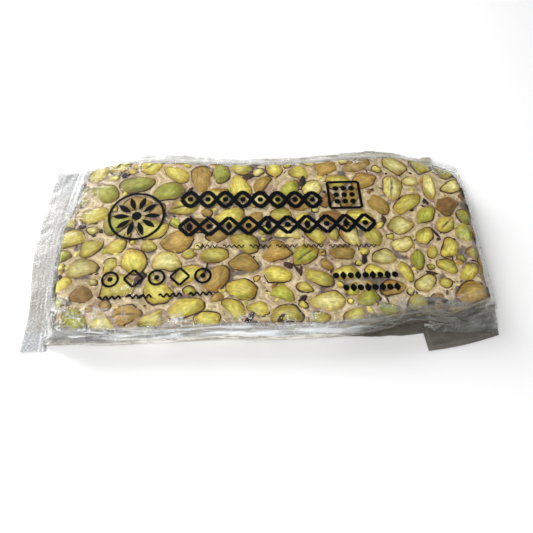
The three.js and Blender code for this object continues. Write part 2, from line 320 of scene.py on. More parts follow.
class NodeGraph:
    """The nodes of a material or of the sky.

    Methods add nodes and give an output socket, apart from those that finish a material.
    """

    def __init__(self, owner):
        owner.use_nodes = True
        self.nodes = owner.node_tree.nodes
        self.links = owner.node_tree.links

    def add(self, kind, inputs, output, **settings):
        """A node of this kind. An input is a socket to link or a fixed value."""
        node = self.nodes.new(kind)
        for name, value in settings.items():
            setattr(node, name, value)
        for key, value in inputs.items():
            socket = node.inputs[key]
            if isinstance(value, bpy.types.NodeSocket):
                self.links.new(value, socket)
            else:
                socket.default_value = (*value, 1.0) if socket.type == "RGBA" else value
        return node.outputs[output]

    def layer(self, name, output="Fac"):
        """The number, colour or vector that the mesh holds for each point under this name."""
        return self.add("ShaderNodeAttribute", {}, output, attribute_name=name)

    def noise(self, scale, detail=3.0, where=None):
        if where is None:
            where = self.add("ShaderNodeTexCoord", {}, "Object")
        return self.add("ShaderNodeTexNoise", {"Vector": where, "Scale": scale, "Detail": detail}, "Fac")

    def stretched(self, scale):
        """Places scaled along each axis, so that a texture on them runs in streaks."""
        where = self.add("ShaderNodeTexCoord", {}, "Object")
        return self.add("ShaderNodeMapping", {"Vector": where, "Scale": scale}, "Vector")

    def remap(self, value, start, end, low=0.0, high=1.0):
        """A number that goes from low to high as value goes from start to end."""
        inputs = {"Value": value, "From Min": start, "From Max": end, "To Min": low, "To Max": high}
        return self.add("ShaderNodeMapRange", inputs, "Result", interpolation_type="SMOOTHSTEP")

    def mix(self, share, first, second, mode="MIX"):
        """first where share is 0 and second where it is 1."""
        inputs = {0: share, 6: first, 7: second}
        return self.add("ShaderNodeMix", inputs, 2, data_type="RGBA", blend_type=mode)

    def shaded(self, colour, shade):
        """A colour multiplied by a number."""
        return self.mix(1.0, colour, shade, "MULTIPLY")

    def calculate(self, operation, first, second):
        """The result of an operation on two numbers, held between 0 and 1."""
        return self.add("ShaderNodeMath", {0: first, 1: second}, 0, operation=operation, use_clamp=True)

    def bump(self, height, strength, distance, **below):
        """A normal raised by height. A further input, Normal, is the bump that this one lies on."""
        inputs = {"Strength": strength, "Distance": distance, "Height": height, **below}
        return self.add("ShaderNodeBump", inputs, "Normal")

    def finish(self, shader):
        self.links.new(shader, self.nodes.new("ShaderNodeOutputMaterial").inputs["Surface"])

    def finish_solid(self, colour, normal, roughness, shine):
        """Ends the material of an opaque thing."""
        inputs = {"Base Color": colour, "Normal": normal, "Roughness": roughness}
        self.finish(self.add("ShaderNodeBsdfPrincipled", {**inputs, "Specular IOR Level": shine}, "BSDF"))


def new_material(name):
    material = bpy.data.materials.new(name)
    graph = NodeGraph(material)
    graph.nodes.clear()
    return material, graph


# What touches the film has little shine of its own
UNDER_FILM_SHINE = 0.15
KERNEL_MOTTLE_SCALE = 480
KERNEL_BLOTCH_SCALE = 170
KERNEL_BLOTCH = srgb(132, 92, 40)
KERNEL_ROUGHNESS = 0.48
KERNEL_STREAK_DEPTH = 0.0004
NOUGAT_CLOUD_SCALE = 240
NOUGAT_PORE_SCALE = 900
NOUGAT_PORE_DEPTH = 0.0006
NOUGAT_SPECK_SCALE = 430
NOUGAT_SPECK = srgb(92, 58, 46)
NOUGAT_ROUGHNESS = 0.6
MOTTLE_DEPTH = 0.0002


def kernel_material():
    """Cut pistachio: the kernel's own paint with fine streaks along it, mottling and a damp shine."""
    material, graph = new_material("pistachio_cut")
    streaks = graph.noise(1.0, 4, graph.layer("grain", "Vector"))
    body = graph.shaded(graph.layer("paint", "Color"), graph.remap(streaks, 0.34, 0.66, 0.78, 1.14))
    body = graph.shaded(body, graph.remap(graph.noise(KERNEL_MOTTLE_SCALE, 4), 0.34, 0.66, 0.82, 1.14))
    blotches = graph.remap(graph.noise(KERNEL_BLOTCH_SCALE, 2), 0.58, 0.76, 0.0, 0.45)
    body = graph.mix(blotches, body, KERNEL_BLOTCH)
    normal = graph.bump(streaks, 0.5, KERNEL_STREAK_DEPTH)
    graph.finish_solid(body, normal, KERNEL_ROUGHNESS, UNDER_FILM_SHINE)
    return material


def nougat_material():
    """Pale aerated nougat: its paint, with pores, cloudy patches and small brown specks."""
    material, graph = new_material("nougat_cut")
    cloud = graph.remap(graph.noise(NOUGAT_CLOUD_SCALE, 4), 0.3, 0.7, 0.8, 1.18)
    pores = graph.noise(NOUGAT_PORE_SCALE, 4)
    specks = graph.remap(graph.noise(NOUGAT_SPECK_SCALE, 2), 0.66, 0.72, 0.0, 0.7)
    body = graph.shaded(graph.layer("paint", "Color"), cloud)
    body = graph.shaded(body, graph.remap(pores, 0.3, 0.6, 0.74, 1.08))
    body = graph.mix(specks, body, NOUGAT_SPECK)
    normal = graph.bump(pores, 0.6, NOUGAT_PORE_DEPTH)
    graph.finish_solid(body, normal, NOUGAT_ROUGHNESS, UNDER_FILM_SHINE)
    return material


def mottled_material(name, first, second, roughness, scale=500, strength=0.3, shine=0.5):
    """Two close colours in fine mottling, with a slight bump."""
    material, graph = new_material(name)
    mottle = graph.noise(scale)
    body = graph.mix(graph.remap(mottle, 0.35, 0.65), first, second)
    graph.finish_solid(body, graph.bump(mottle, strength, MOTTLE_DEPTH), roughness, shine)
    return material


# Pinched lines run where a noise crosses its middle value: from clear to white, and from white to clear.
# Their white is a painted highlight along the film's creases
PINCH_SCALE = 150
PINCH_RISE = (0.474, 0.496)
PINCH_FALL = (0.504, 0.526)
PINCH_DEPTH = 0.0005
# Speckles are the peaks of a fine noise. Haze is lower between them and higher on them
SPECKLE_SCALE = 1100
SPECKLE_RISE = (0.5, 0.64)
SPECKLE_LESS = 0.65
SPECKLE_MORE = 2.0
CLOUDY_ROUGHNESS = 0.35
FILM_SHINE_FLAT = 0.027
FILM_SHINE_STEEP = 0.42


def film_material(name, scale, stretch, depth, roughness, patches, speckle=0.0):
    """Clear film: see-through, cloudy by its haze, white along pinched lines as painted highlights, and a
    mirror at a slant.

    Creases have a scale, a stretch along each axis and a depth. The patches say how much haze is left
    between creases and how much more there is on them.
    """
    material, graph = new_material(name)
    creases = graph.noise(scale, 4, graph.stretched(stretch))
    pinch = graph.noise(PINCH_SCALE, 5)
    rise = graph.remap(pinch, *PINCH_RISE)
    lines = graph.calculate("MULTIPLY", rise, graph.remap(pinch, *PINCH_FALL, 1.0, 0.0))
    lines = graph.calculate("MULTIPLY", lines, graph.layer("pinch_glint"))
    normal = graph.bump(creases, graph.layer("crease"), depth)
    normal = graph.bump(lines, 1.0, PINCH_DEPTH, Normal=normal)
    haze = graph.calculate("MULTIPLY", graph.layer("haze"), graph.remap(creases, 0.4, 0.6, *patches))
    if speckle:
        speckles = graph.remap(graph.noise(SPECKLE_SCALE, 2), *SPECKLE_RISE,
                               1 - SPECKLE_LESS * speckle, 1 + SPECKLE_MORE * speckle)
        haze = graph.calculate("MULTIPLY", haze, speckles)
    haze = graph.calculate("ADD", haze, lines)
    clear = graph.add("ShaderNodeBsdfTransparent", {}, "BSDF")
    inputs = {"Base Color": graph.layer("cloud", "Color"), "Normal": normal, "Roughness": CLOUDY_ROUGHNESS}
    cloudy = graph.add("ShaderNodeBsdfPrincipled", inputs, "BSDF")
    mirror = graph.add("ShaderNodeBsdfGlossy", {"Normal": normal, "Roughness": roughness}, "BSDF")
    veil = graph.add("ShaderNodeMixShader", {0: haze, 1: clear, 2: cloudy}, "Shader")
    steep = graph.calculate("POWER", graph.add("ShaderNodeLayerWeight", {"Blend": 0.5}, "Facing"), 3.0)
    shine = graph.calculate("ADD", graph.calculate("MULTIPLY", steep, FILM_SHINE_STEEP), FILM_SHINE_FLAT)
    graph.finish(graph.add("ShaderNodeMixShader", {0: shine, 1: veil, 2: mirror}, "Shader"))
    return material


KERNEL = kernel_material()
NOUGAT = nougat_material()
SKIN_BROWN = (srgb(24, 16, 19), srgb(66, 43, 33))
INK_BLACK = (srgb(4, 8, 12), srgb(7, 11, 16))
SKIN = mottled_material("kernel_skin", *SKIN_BROWN, roughness=0.45, scale=170, shine=UNDER_FILM_SHINE)
INK = mottled_material("print_ink", *INK_BLACK, roughness=0.6, strength=0.05, shine=0.05)
FILM = film_material("pouch_film", scale=480, stretch=(0.12, 1.0, 1.0), depth=0.002, roughness=0.07,
                     patches=(0.5, 1.4))
SEAL_FILM = film_material("seal_film", scale=420, stretch=(1.0, 0.05, 1.0), depth=0.0003, roughness=0.25,
                          patches=(0.95, 1.04), speckle=0.46)
FLAP_FILM = film_material("flap_film", scale=200, stretch=(0.5, 1.0, 1.0), depth=0.0005, roughness=0.12,
                          patches=(0.94, 1.05), speckle=0.06)

# Paints of a kernel: its middle, the body around it, the flank on one side and the rim. The paler middle and
# darker rim are partly the kernel's own colour, partly a painted highlight and painted shade of its dome
KERNEL_PAINTS = {
    "yellow": (srgb(220, 208, 108), srgb(200, 184, 72), srgb(128, 126, 34), srgb(78, 48, 26)),
    "pale": (srgb(230, 219, 150), srgb(208, 196, 112), srgb(146, 140, 62), srgb(92, 62, 38)),
    "green": (srgb(190, 190, 80), srgb(160, 160, 52), srgb(94, 106, 26), srgb(56, 48, 22)),
    "tan": (srgb(190, 158, 84), srgb(164, 132, 60), srgb(130, 108, 38), srgb(76, 46, 22)),
    "brown": (srgb(152, 114, 58), srgb(126, 92, 42), srgb(92, 78, 36), srgb(56, 36, 20)),
}
# Painted shade in the groove of a split kernel
CLEFT_PAINT = srgb(40, 24, 16)
TOASTED_PAINT = srgb(150, 98, 34)
OCHRE_PAINT = srgb(166, 128, 44)
OCHRE_EDGE = 0.5
NOUGAT_PAINT = srgb(180, 160, 120)
NOUGAT_HALO = srgb(226, 208, 172)
NOUGAT_ROSY = srgb(146, 118, 98)
NOUGAT_GREY = srgb(88, 78, 76)


# Faces of the bar: each turns a place on the face and a height above it into a point

KERNEL_LEVEL = 14.75
EDGE_ROUNDING = 2.4
EDGE_ROUNDING_REACH = 3.6
UNDERSIDE = 0.5
BOTTOM_RELIEF_SHARE = 0.5
FACE_INSET = 0.9
WALL_SINK = 0.5
WALL_LOW = 1.2
WALL_HIGH = SLAB_TOP - 1.8
RIGHT_BULGE = 2.6
CORNER_INSET = 1.2


def wall_line(edge, x):
    """Where a long wall of the bar is at x, as the nougat is stretched between its slanted ends."""
    y = edge(x)
    for _ in range(3):
        share = (x - slab_left(y)) / (slab_right(y) - slab_left(y))
        y = edge(mix(slab_left(0.0), slab_right(0.0), share))
    return y


def hold_on_top(x, y, inset=FACE_INSET):
    """Moves places that are past the edges of the top face back onto it."""
    y = np.clip(y, wall_line(slab_near, x) + inset, wall_line(slab_far, x) - inset)
    return np.clip(x, slab_left(y) + inset, slab_right(y) - inset), y


def edge_distance(x, y):
    return np.minimum.reduce([x - slab_left(y), slab_right(y) - x, y - slab_near(x), slab_far(x) - y])


def edge_rounding(x, y):
    """How far the top face has dropped where it rounds over to the walls."""
    return EDGE_ROUNDING * (1 - smooth(edge_distance(x, y) / EDGE_ROUNDING_REACH)) ** 2


def on_top(u, v, height):
    x, y = hold_on_top(u, v, 0.7 + 0.5 * noise(u + v, u - v, 2.2, 93))
    return np.stack([x, y, KERNEL_LEVEL + height - edge_rounding(x, y)], -1)


def on_bottom(u, v, height):
    x, y = hold_on_top(u, v)
    return np.stack([x, y, UNDERSIDE - height * BOTTOM_RELIEF_SHARE], -1)


def right_bulge(height):
    """How far the right wall of the bar swells outward at a height above the floor."""
    return RIGHT_BULGE * np.sin(math.pi * np.clip(height / SLAB_TOP, 0, 1))


def on_wall(side):
    """A wall face: u runs along the wall and v is the height above the floor."""
    def place(u, v, height):
        v = np.clip(v, WALL_LOW, WALL_HIGH)
        out = height - WALL_SINK
        if side == "near":
            return np.stack([u, wall_line(slab_near, u) - out, v], -1)
        if side == "far":
            return np.stack([u, wall_line(slab_far, u) + out, v], -1)
        end = slab_left(0.0) if side == "left" else slab_right(0.0)
        u = np.clip(u, slab_near(end) + CORNER_INSET, slab_far(end) - CORNER_INSET)
        if side == "left":
            return np.stack([slab_left(u) - out, u, v], -1)
        return np.stack([slab_right(u) + out + right_bulge(v), u, v], -1)
    return place


# Kernels

KERNEL_RINGS = (0.2, 0.42, 0.62, 0.78, 0.89, 0.96)
KERNEL_SIDES = 40
HIDDEN_KERNEL_SIDES = 24
KERNEL_CROWN = 0.34
KERNEL_RIM_DROP = 0.14
KERNEL_GROWTH = 0.98
KERNEL_SKIRT = 1.2
KERNEL_DOME_POWER = 3.4
CLEFT_LENGTH_SHARE = 0.3
CLEFT_WIDTH = 0.42
CLEFT_DEPTH = 0.6
NOTCH_REACH = 0.45
# Waves of a kernel's outline: how many go round it, and their size
OUTLINE_WAVES = ((2, 0.03), (3, 0.04), (5, 0.018), (7, 0.008))
# Kinds of the kernels that stand out, and which of those are split along the middle
LANDMARK_KINDS = ("tan", "yellow", "green", "yellow", "tan", "yellow", "brown", "tan",
                  "yellow", "pale", "yellow", "pale", "pale", "yellow", "pale", "tan")
SPLIT_LANDMARKS = (7, 12)
# Kinds of all others: each is drawn below its number and above the one before
KIND_SHARES = (("yellow", 0.46), ("pale", 0.66), ("green", 0.8), ("tan", 0.95), ("brown", 1.0))
GRAIN_ALONG = 0.3
GRAIN_ACROSS = 1.5


def kernel_outline(kernel, angle, form):
    """The kernel's outline as offsets along and across it, and how far its middle line bends aside."""
    power = form["power"]
    corner = (np.abs(np.cos(angle)) ** power + np.abs(np.sin(angle)) ** power) ** (-1 / power)
    wobble = corner * (1 + sum(size * np.cos(n * angle + form["phase"][n]) for n, size in OUTLINE_WAVES))
    gap = (angle - form["notch_at"] + math.pi) % math.tau - math.pi
    wobble = wobble * (1 - form["notch"] * np.exp(-(gap / NOTCH_REACH) ** 2))
    for at, reach in form["cuts"]:
        wobble = np.minimum(wobble, reach / np.clip(np.cos(angle - at), 0.3, None))
    wobble = wobble * KERNEL_GROWTH
    along = kernel["length"] / 2 * np.cos(angle) * wobble
    across = kernel["width"] / 2 * np.sin(angle) * (1 + kernel["taper"] * np.cos(angle)) * wobble
    bend = kernel["bend"] * kernel["width"] * (np.cos(angle) ** 2 - 0.5)
    return along, np.maximum(across, -form["flat"] * kernel["width"]), bend


def turned(kernel, along, across):
    c, s = math.cos(kernel["turn"]), math.sin(kernel["turn"])
    return kernel["x"] + along * c - across * s, kernel["y"] + along * s + across * c


def kernel_form(draw, index=0, landmark=False):
    """What makes one kernel unlike the next: its kind, outline, split, paint, tilt and skin."""
    kind_draw = draw.draw()
    kind = next(name for name, share in KIND_SHARES if kind_draw <= share)
    shape = draw.draw()
    return {
        "kind": LANDMARK_KINDS[index] if landmark else kind,
        "phase": {n: draw.direction() for n, _ in OUTLINE_WAVES},
        "power": draw.between(1.45, 2.3),
        "notch_at": math.pi / 2 * (1 if draw.draw() < 0.5 else -1) + draw.between(-0.5, 0.5),
        "notch": draw.between(0.12, 0.28) if shape < 0.3 else 0.0,
        "flat": draw.between(0.2, 0.34) if 0.3 <= shape < 0.5 else 0.6,
        "cuts": [(draw.direction(), draw.between(0.74, 1.1)) for _ in range(3)],
        "split": (index in SPLIT_LANDMARKS) if landmark else shape > 0.94,
        "brightness": draw.between(0.66, 1.02),
        "side_at": draw.direction(),
        "side_share": draw.between(0.25, 1.0),
        "toasted_at": draw.direction(),
        "toasted": draw.between(0.35, 0.9) if draw.draw() < 0.36 else 0.0,
        "tilt_at": draw.direction(),
        "tilt": draw.between(0.0, 0.17),
        "skin_from": draw.direction(),
        "skin_span": draw.between(1.4, 5.6) if draw.draw() < 0.85 else 0.0,
        "skin_width": draw.between(0.24, 0.85),
        "grain": draw.between(0, 90),
    }


def kernel_paint(form, share, angle, cleft):
    """The kernel's colours at points given by their share of the radius and their angle."""
    middle, body, flank, rim = KERNEL_PAINTS[form["kind"]]
    # The paler middle is partly a painted highlight on the dome
    paint = blended(middle, smooth((share - 0.1) / 0.75), body)
    to_side = smooth((share * np.cos(angle - form["side_at"]) - 0.1) / 0.7) * form["side_share"]
    paint = blended(paint, to_side, flank)
    to_toast = smooth((share * np.cos(angle - form["toasted_at"]) - 0.3) / 0.6) * form["toasted"]
    paint = blended(paint, to_toast, TOASTED_PAINT)
    paint = blended(paint, OCHRE_EDGE * smooth((share - 0.62) / 0.3), OCHRE_PAINT)
    # The dark rim is partly painted shade at the dome's edge, strongest on the flank side
    rim_share = 0.3 + 0.62 * smooth(0.45 + 0.75 * np.cos(angle - form["side_at"]))
    paint = blended(paint, rim_share * smooth((share - 0.88) / 0.1), rim)
    # Painted shade along the split kernel's groove
    return blended(paint * form["brightness"], cleft, CLEFT_PAINT)


def add_kernel(kernels, skins, kernel, form, onto, sides=KERNEL_SIDES):
    """One kernel: a low dome with a skirt that goes down into the nougat."""
    angle = np.arange(sides) / sides * math.tau
    outline_along, outline_across, bend = kernel_outline(kernel, angle, form)
    share = np.array([*KERNEL_RINGS, 1.0, 1.0])[:, None] + 0 * angle[None, :]
    turn = angle[None, :] + 0 * share
    along = outline_along * share
    middle_line = bend * share**2
    across = outline_across * share + middle_line
    height = KERNEL_CROWN - (KERNEL_CROWN + KERNEL_RIM_DROP) * share**KERNEL_DOME_POWER
    height = height + form["tilt"] * share * np.cos(turn - form["tilt_at"])
    cleft = 0 * share
    if form["split"]:
        within = smooth(1.5 - np.abs(along) / (kernel["length"] * CLEFT_LENGTH_SHARE))
        cleft = np.exp(-((across - middle_line) / CLEFT_WIDTH) ** 2) * within
    height = height - CLEFT_DEPTH * cleft
    height[-1] = -KERNEL_SKIRT

    def with_middle(values, middle):
        return np.concatenate([[middle], np.asarray(values).ravel()])

    along, across = with_middle(along, 0), with_middle(across, 0)
    share, turn = with_middle(share, 0), with_middle(turn, 0)
    cleft = with_middle(cleft, 1 if form["split"] else 0)
    height = with_middle(height, KERNEL_CROWN - CLEFT_DEPTH * cleft[0])
    points = onto(*turned(kernel, along, across), height)
    rings = len(KERNEL_RINGS) + 2
    faces = [[0, 1 + i, 1 + (i + 1) % sides] for i in range(sides)]
    faces += [[1 + i for i in face] for face in grid_faces(rings, sides, close_columns=True, flip=True)]
    faces.append([1 + (rings - 1) * sides + i for i in reversed(range(sides))])
    grain = np.stack([along * GRAIN_ALONG, across * GRAIN_ACROSS, 0 * along], -1) + form["grain"]
    kernels.add(points, faces, paint=kernel_paint(form, share, turn, cleft), grain=grain)
    if form["skin_span"]:
        add_skin_line(skins, kernel, form, onto)


# Section of the skin line: share of the outline's radius, share of the line's width, height
SKIN_SECTION = ((0.965, 0.0, -0.7), (0.985, 0.05, -0.02), (1.0, 0.7, -0.08), (1.0, 1.0, -0.7))


def add_skin_line(skins, kernel, form, onto):
    """The dark skin left along part of a kernel's edge: a thin ridge with tapered ends."""
    steps = max(6, int(form["skin_span"] * kernel["length"] / 2.2))
    share = np.linspace(0, 1, steps + 1)
    along, across, bend = kernel_outline(kernel, form["skin_from"] + form["skin_span"] * share, form)
    reach = np.hypot(along, across)
    width = form["skin_width"] * np.sin(math.pi * np.clip(share, 0.03, 0.97)) ** 0.6
    width = width * (1 + 0.45 * noise(share * 30 + kernel["x"], share * 0, 2.0, 5))
    columns = []
    for scale, out, height in SKIN_SECTION:
        grown = scale + out * width / reach
        u, v = turned(kernel, along * grown, across * grown + bend)
        columns.append(onto(u, v, np.full(steps + 1, height)))
    points = np.stack(columns, 1).reshape(-1, 3)
    count = len(SKIN_SECTION)
    faces = grid_faces(steps + 1, count, close_columns=True)
    faces.append(list(range(count)))
    faces.append([steps * count + i for i in reversed(range(count))])
    skins.add(points, faces)


FRAGMENT_SIDES = 10
# Rings of a scrap, from its outline inward: share of the outline, height in millimetres below the base
# or as a share of the rise above it
FRAGMENT_RINGS = ((1.0, -0.9), (0.92, 0.4), (0.55, 1.0))
SCATTER_X = (-94, 106)
SCATTER_Y = (-45, 46)


def add_fragment(parts, draw, onto, length, width_share, rise, base, paint=None, place=None):
    """A small irregular scrap of kernel or of dark skin, at a random place if none is given."""
    x, y = place or (draw.between(*SCATTER_X), draw.between(*SCATTER_Y))
    turn = draw.between(0, math.pi)
    angle = np.arange(FRAGMENT_SIDES) / FRAGMENT_SIDES * math.tau
    rough = 1 + np.array([draw.between(-0.32, 0.32) for _ in range(FRAGMENT_SIDES)])
    along = length / 2 * np.cos(angle) * rough
    across = length / 2 * width_share * np.sin(angle) * rough
    shares = np.array([share for share, _ in FRAGMENT_RINGS] + [0.0])
    rises = [(rise if part > 0 else 1) * part for _, part in FRAGMENT_RINGS]
    heights = np.array([base + part for part in rises] + [base + rise])
    u, v = turned({"x": x, "y": y, "turn": turn}, shares[:, None] * along, shares[:, None] * across)
    points = onto(u, v, heights[:, None] + 0 * u).reshape(-1, 3)
    last = (len(shares) - 2) * FRAGMENT_SIDES
    faces = [list(reversed(range(FRAGMENT_SIDES)))]
    faces += grid_faces(len(shares) - 1, FRAGMENT_SIDES, close_columns=True)
    middle = last + FRAGMENT_SIDES
    faces += [[last + i, last + (i + 1) % FRAGMENT_SIDES, middle] for i in range(FRAGMENT_SIDES)]
    points = points[:middle + 1]
    if paint is None:
        parts.add(points, faces)
    else:
        parts.add(points, faces, paint=np.broadcast_to(paint, points.shape), grain=points * 0.6)


FORM_SEED = 77
# Scraps on each face: count, range of length, range of width as a share of it, rise
CRUMBS = (80, (1.6, 4.2), (0.5, 0.9), 0.2)
FLAKES = (110, (1.0, 3.4), (0.3, 0.8), 0.16)
SLIVERS = (60, (3.0, 7.5), (0.08, 0.26), 0.16)
SCRAP_BASE = -0.2
LANDMARK_SKIN_RISE = 0.12
LANDMARK_SKIN_BASE = 0.24
# Dark skins that stand out on the top face: place, length, width share
LANDMARK_SKINS = (
    (-54.5, -22.0, 9, 0.5),
    (24.0, 30.5, 7, 0.5),
    (79.5, -38.0, 9, 0.5),
    (-85.0, 7.0, 4, 0.6),
    (-91.5, -20.0, 5, 0.6),
    (-5.0, -42.5, 5.5, 0.5),
    (9.0, -43.0, 6, 0.4),
    (19.0, -34.5, 4.5, 0.6),
    (13.5, -17.5, 4.5, 0.7),
    (49.5, -15.5, 5, 0.6),
    (62.5, 6.0, 4.5, 0.6),
    (-3.5, 34.5, 6, 0.5),
    (-33.5, 27.0, 4, 0.6),
    (-67.0, 37.5, 4.5, 0.6),
    (85.5, 16.0, 4.5, 0.5),
)


def scatter(parts, draw, onto, scraps, paints=()):
    """Scraps at random places on a face, each in one of the paints."""
    count, lengths, width_shares, rise = scraps
    for _ in range(count):
        paint = paints[int(draw.draw() * len(paints))] if paints else None
        length = draw.between(*lengths)
        add_fragment(parts, draw, onto, length, draw.between(*width_shares), rise, SCRAP_BASE, paint)


def build_kernels():
    kernels = MeshParts()
    crumbs = MeshParts()
    skins = MeshParts()
    draw = SeededRandom(FORM_SEED)
    for x, y, length, width_share in LANDMARK_SKINS:
        add_fragment(skins, draw, on_top, length, width_share, LANDMARK_SKIN_RISE, LANDMARK_SKIN_BASE,
                     place=(x, y))
    for index, kernel in enumerate(top_kernels + filler_kernels):
        add_kernel(kernels, skins, kernel, kernel_form(draw, index, index < len(LANDMARK_KERNELS)), on_top)
    hidden = [(kernel, on_bottom) for kernel in bottom_kernels]
    for side, placed in wall_kernels.items():
        hidden += [(kernel, on_wall(side)) for kernel in placed]
    for kernel, onto in hidden:
        add_kernel(kernels, skins, kernel, kernel_form(draw), onto, HIDDEN_KERNEL_SIDES)
    body_paints = [body for _, body, _, _ in KERNEL_PAINTS.values()]
    for onto in (on_top, on_bottom):
        scatter(crumbs, draw, onto, CRUMBS, body_paints)
        scatter(skins, draw, onto, FLAKES)
        scatter(skins, draw, onto, SLIVERS)
    kernels.piece("pistachio_kernels", KERNEL, "pistachio")
    crumbs.piece("pistachio_crumbs", KERNEL, "pistachio")
    skins.piece("kernel_skins", SKIN, "pistachio")


# Small kernels in the gaps that the solid leaves plain
FILLER_COUNT = 70
FILLER_TRIES = 240
FILLER_SIZES = (8.5, 3.4)
BOTTOM_COUNT = 150
BOTTOM_TRIES = 200
WALL_TRIES = 80
WALL_SIZES = (13.0, 5.0)
# Walls: side, where it starts and ends, kernels to place
WALLS = (("near", -90, 104, 60), ("far", -88, 100, 60), ("left", -43, 40, 26), ("right", -38, 34, 26))
WALL_END_INSET = 3
WALL_KERNELS_FROM = 3.2
WALL_KERNELS_TO = SLAB_TOP - 4.2
WALL_DRAW_RANGE = (2.5, SLAB_TOP - 2.5)


def wall_face(low, high):
    def inside(u, v):
        along = (u > low + WALL_END_INSET) & (u < high - WALL_END_INSET)
        return along & (v > WALL_KERNELS_FROM) & (v < WALL_KERNELS_TO)
    return inside


placed_already = [(k["x"], k["y"], k["length"], k["width"], math.degrees(k["turn"])) for k in top_kernels]
filler_kernels = place_kernels(SeededRandom(KERNEL_SEED + 2), on_top_face, PLACING_X, PLACING_Y, FILLER_COUNT,
                               FILLER_TRIES, *FILLER_SIZES, placed_already)[len(top_kernels):]
bottom_kernels = place_kernels(SeededRandom(KERNEL_SEED + 1), on_top_face, PLACING_X, PLACING_Y, BOTTOM_COUNT,
                               BOTTOM_TRIES, KERNEL_LONGEST, KERNEL_SHORTEST)
wall_kernels = {}
for number, (side, low, high, count) in enumerate(WALLS):
    wall_kernels[side] = place_kernels(SeededRandom(KERNEL_SEED + 10 + number), wall_face(low, high),
                                       (low, high), WALL_DRAW_RANGE, count, WALL_TRIES, *WALL_SIZES)


# The nougat slab that the kernels sit in

def kernel_closeness(x, y, kernels):
    """1 up to the halo's width past a kernel's outline, falling to 0 over the fade's width beyond."""
    closeness = np.zeros(np.shape(x))
    for kernel in kernels:
        dx, dy = x - kernel["x"], y - kernel["y"]
        near = (np.abs(dx) < kernel["length"]) & (np.abs(dy) < kernel["length"])
        dx, dy = dx[near], dy[near]
        c, s = math.cos(kernel["turn"]), math.sin(kernel["turn"])
        along = (dx * c + dy * s) / (kernel["length"] / 2)
        across = (dy * c - dx * s) / (kernel["width"] / 2)
        past = (np.hypot(along, across) - 1) * kernel["width"] / 2
        share = smooth((KERNEL_HALO + KERNEL_FADE - past) / KERNEL_FADE)
        closeness[near] = np.maximum(closeness[near], share)
    return closeness


NOUGAT_COLUMNS = 300
NOUGAT_ROWS = 142
NOUGAT_LEVEL = 14.42
NOUGAT_WALL_RINGS = 9
KERNEL_HALO = 0.2
KERNEL_FADE = 1.3


def nougat_paint(x, y, closeness):
    """Cream, paler beside the kernels, with rosy patches and grey pockets of air under the film."""
    paint = blended(NOUGAT_PAINT, 0.8 * smooth((noise(x, y, 8.0, 81) - 0.1) / 0.5), NOUGAT_ROSY)
    halo = smooth(closeness / 0.6) * smooth((1.02 - closeness) / 0.4)
    paint = blended(paint, 0.75 * halo, NOUGAT_HALO)
    pocket = noise(x, y, 6.5, 82) + 0.5 * noise(x, y, 2.6, 83)
    return blended(paint, 0.85 * smooth((pocket - 0.5) / 0.3), NOUGAT_GREY)


def build_nougat():
    share_x, share_y = grid_shares(NOUGAT_COLUMNS, NOUGAT_ROWS)
    middle_x = mix(slab_left(0.0), slab_right(0.0), share_x)
    flat = 0 * middle_x
    ragged = 0.7 + 0.5 * noise(middle_x, flat, 4.0, 91) + 0.35 * noise(middle_x, flat, 1.9, 92)
    y = mix(slab_near(middle_x) + ragged, slab_far(middle_x) - 0.5, share_y)
    x = mix(slab_left(y) + 0.5, slab_right(y) - 0.5, share_x)
    rounding = edge_rounding(x, y)
    lumps = 0.2 * noise(x, y, 4.2, 11) + 0.12 * noise(x, y, 1.8, 12) + 0.05 * noise(x, y, 0.9, 13)
    around_top = kernel_closeness(x, y, top_kernels)
    around_bottom = kernel_closeness(x, y, bottom_kernels)
    top = np.stack([x, y, NOUGAT_LEVEL + lumps + 0.12 * around_top - rounding], -1)
    bottom = np.stack([x, y, UNDERSIDE + 0.15 - lumps * 0.4 + rounding * 0.5], -1)
    points = np.concatenate([top.reshape(-1, 3), bottom.reshape(-1, 3)])
    paint = np.concatenate([nougat_paint(x, y, around_top).reshape(-1, 3),
                            nougat_paint(x, y, around_bottom).reshape(-1, 3)])
    offset = NOUGAT_COLUMNS * NOUGAT_ROWS
    faces = grid_faces(NOUGAT_COLUMNS, NOUGAT_ROWS, flip=True)
    faces += [[i + offset for i in face] for face in grid_faces(NOUGAT_COLUMNS, NOUGAT_ROWS)]
    upper = border_of(NOUGAT_COLUMNS, NOUGAT_ROWS)
    lower = [i + offset for i in upper]
    count = len(upper)
    centre = points[upper, :2].mean(0)
    out = points[upper, :2] - centre
    out = out / np.linalg.norm(out, axis=1)[:, None]
    steps = np.diff(points[upper, :2], axis=0, append=points[upper[:1], :2])
    along = np.cumsum(np.linalg.norm(steps, axis=1))
    rings = [upper]
    for level in np.linspace(0, 1, NOUGAT_WALL_RINGS)[1:-1]:
        ring = mix(points[upper], points[lower], level)
        bulge = 0.4 * noise(along, ring[:, 2], 3.0, 21) + 0.2 * noise(along, ring[:, 2], 1.4, 22)
        ring[:, :2] += out * bulge[:, None]
        ring[:, 0] += right_bulge(ring[:, 2]) * smooth((ring[:, 0] - slab_right(ring[:, 1]) + 3) / 2)
        rings.append([len(points) + i for i in range(count)])
        points = np.concatenate([points, ring])
        paint = np.concatenate([paint, nougat_paint(along, ring[:, 2], 0 * along)])
    rings.append(lower)
    for above, below in zip(rings, rings[1:]):
        faces += [[above[i], below[i], below[(i + 1) % count], above[(i + 1) % count]] for i in range(count)]
    make_piece("nougat_slab", points, faces, NOUGAT, {"paint": paint})


def border_of(rows, columns):
    """The numbers of a grid's border points, in order round it."""
    first_side = [r * columns for r in range(rows)]
    far_side = [(rows - 1) * columns + c for c in range(1, columns)]
    last_side = [r * columns + columns - 1 for r in range(rows - 2, -1, -1)]
    near_side = list(range(columns - 2, 0, -1))
    return first_side + far_side + last_side + near_side


# The film

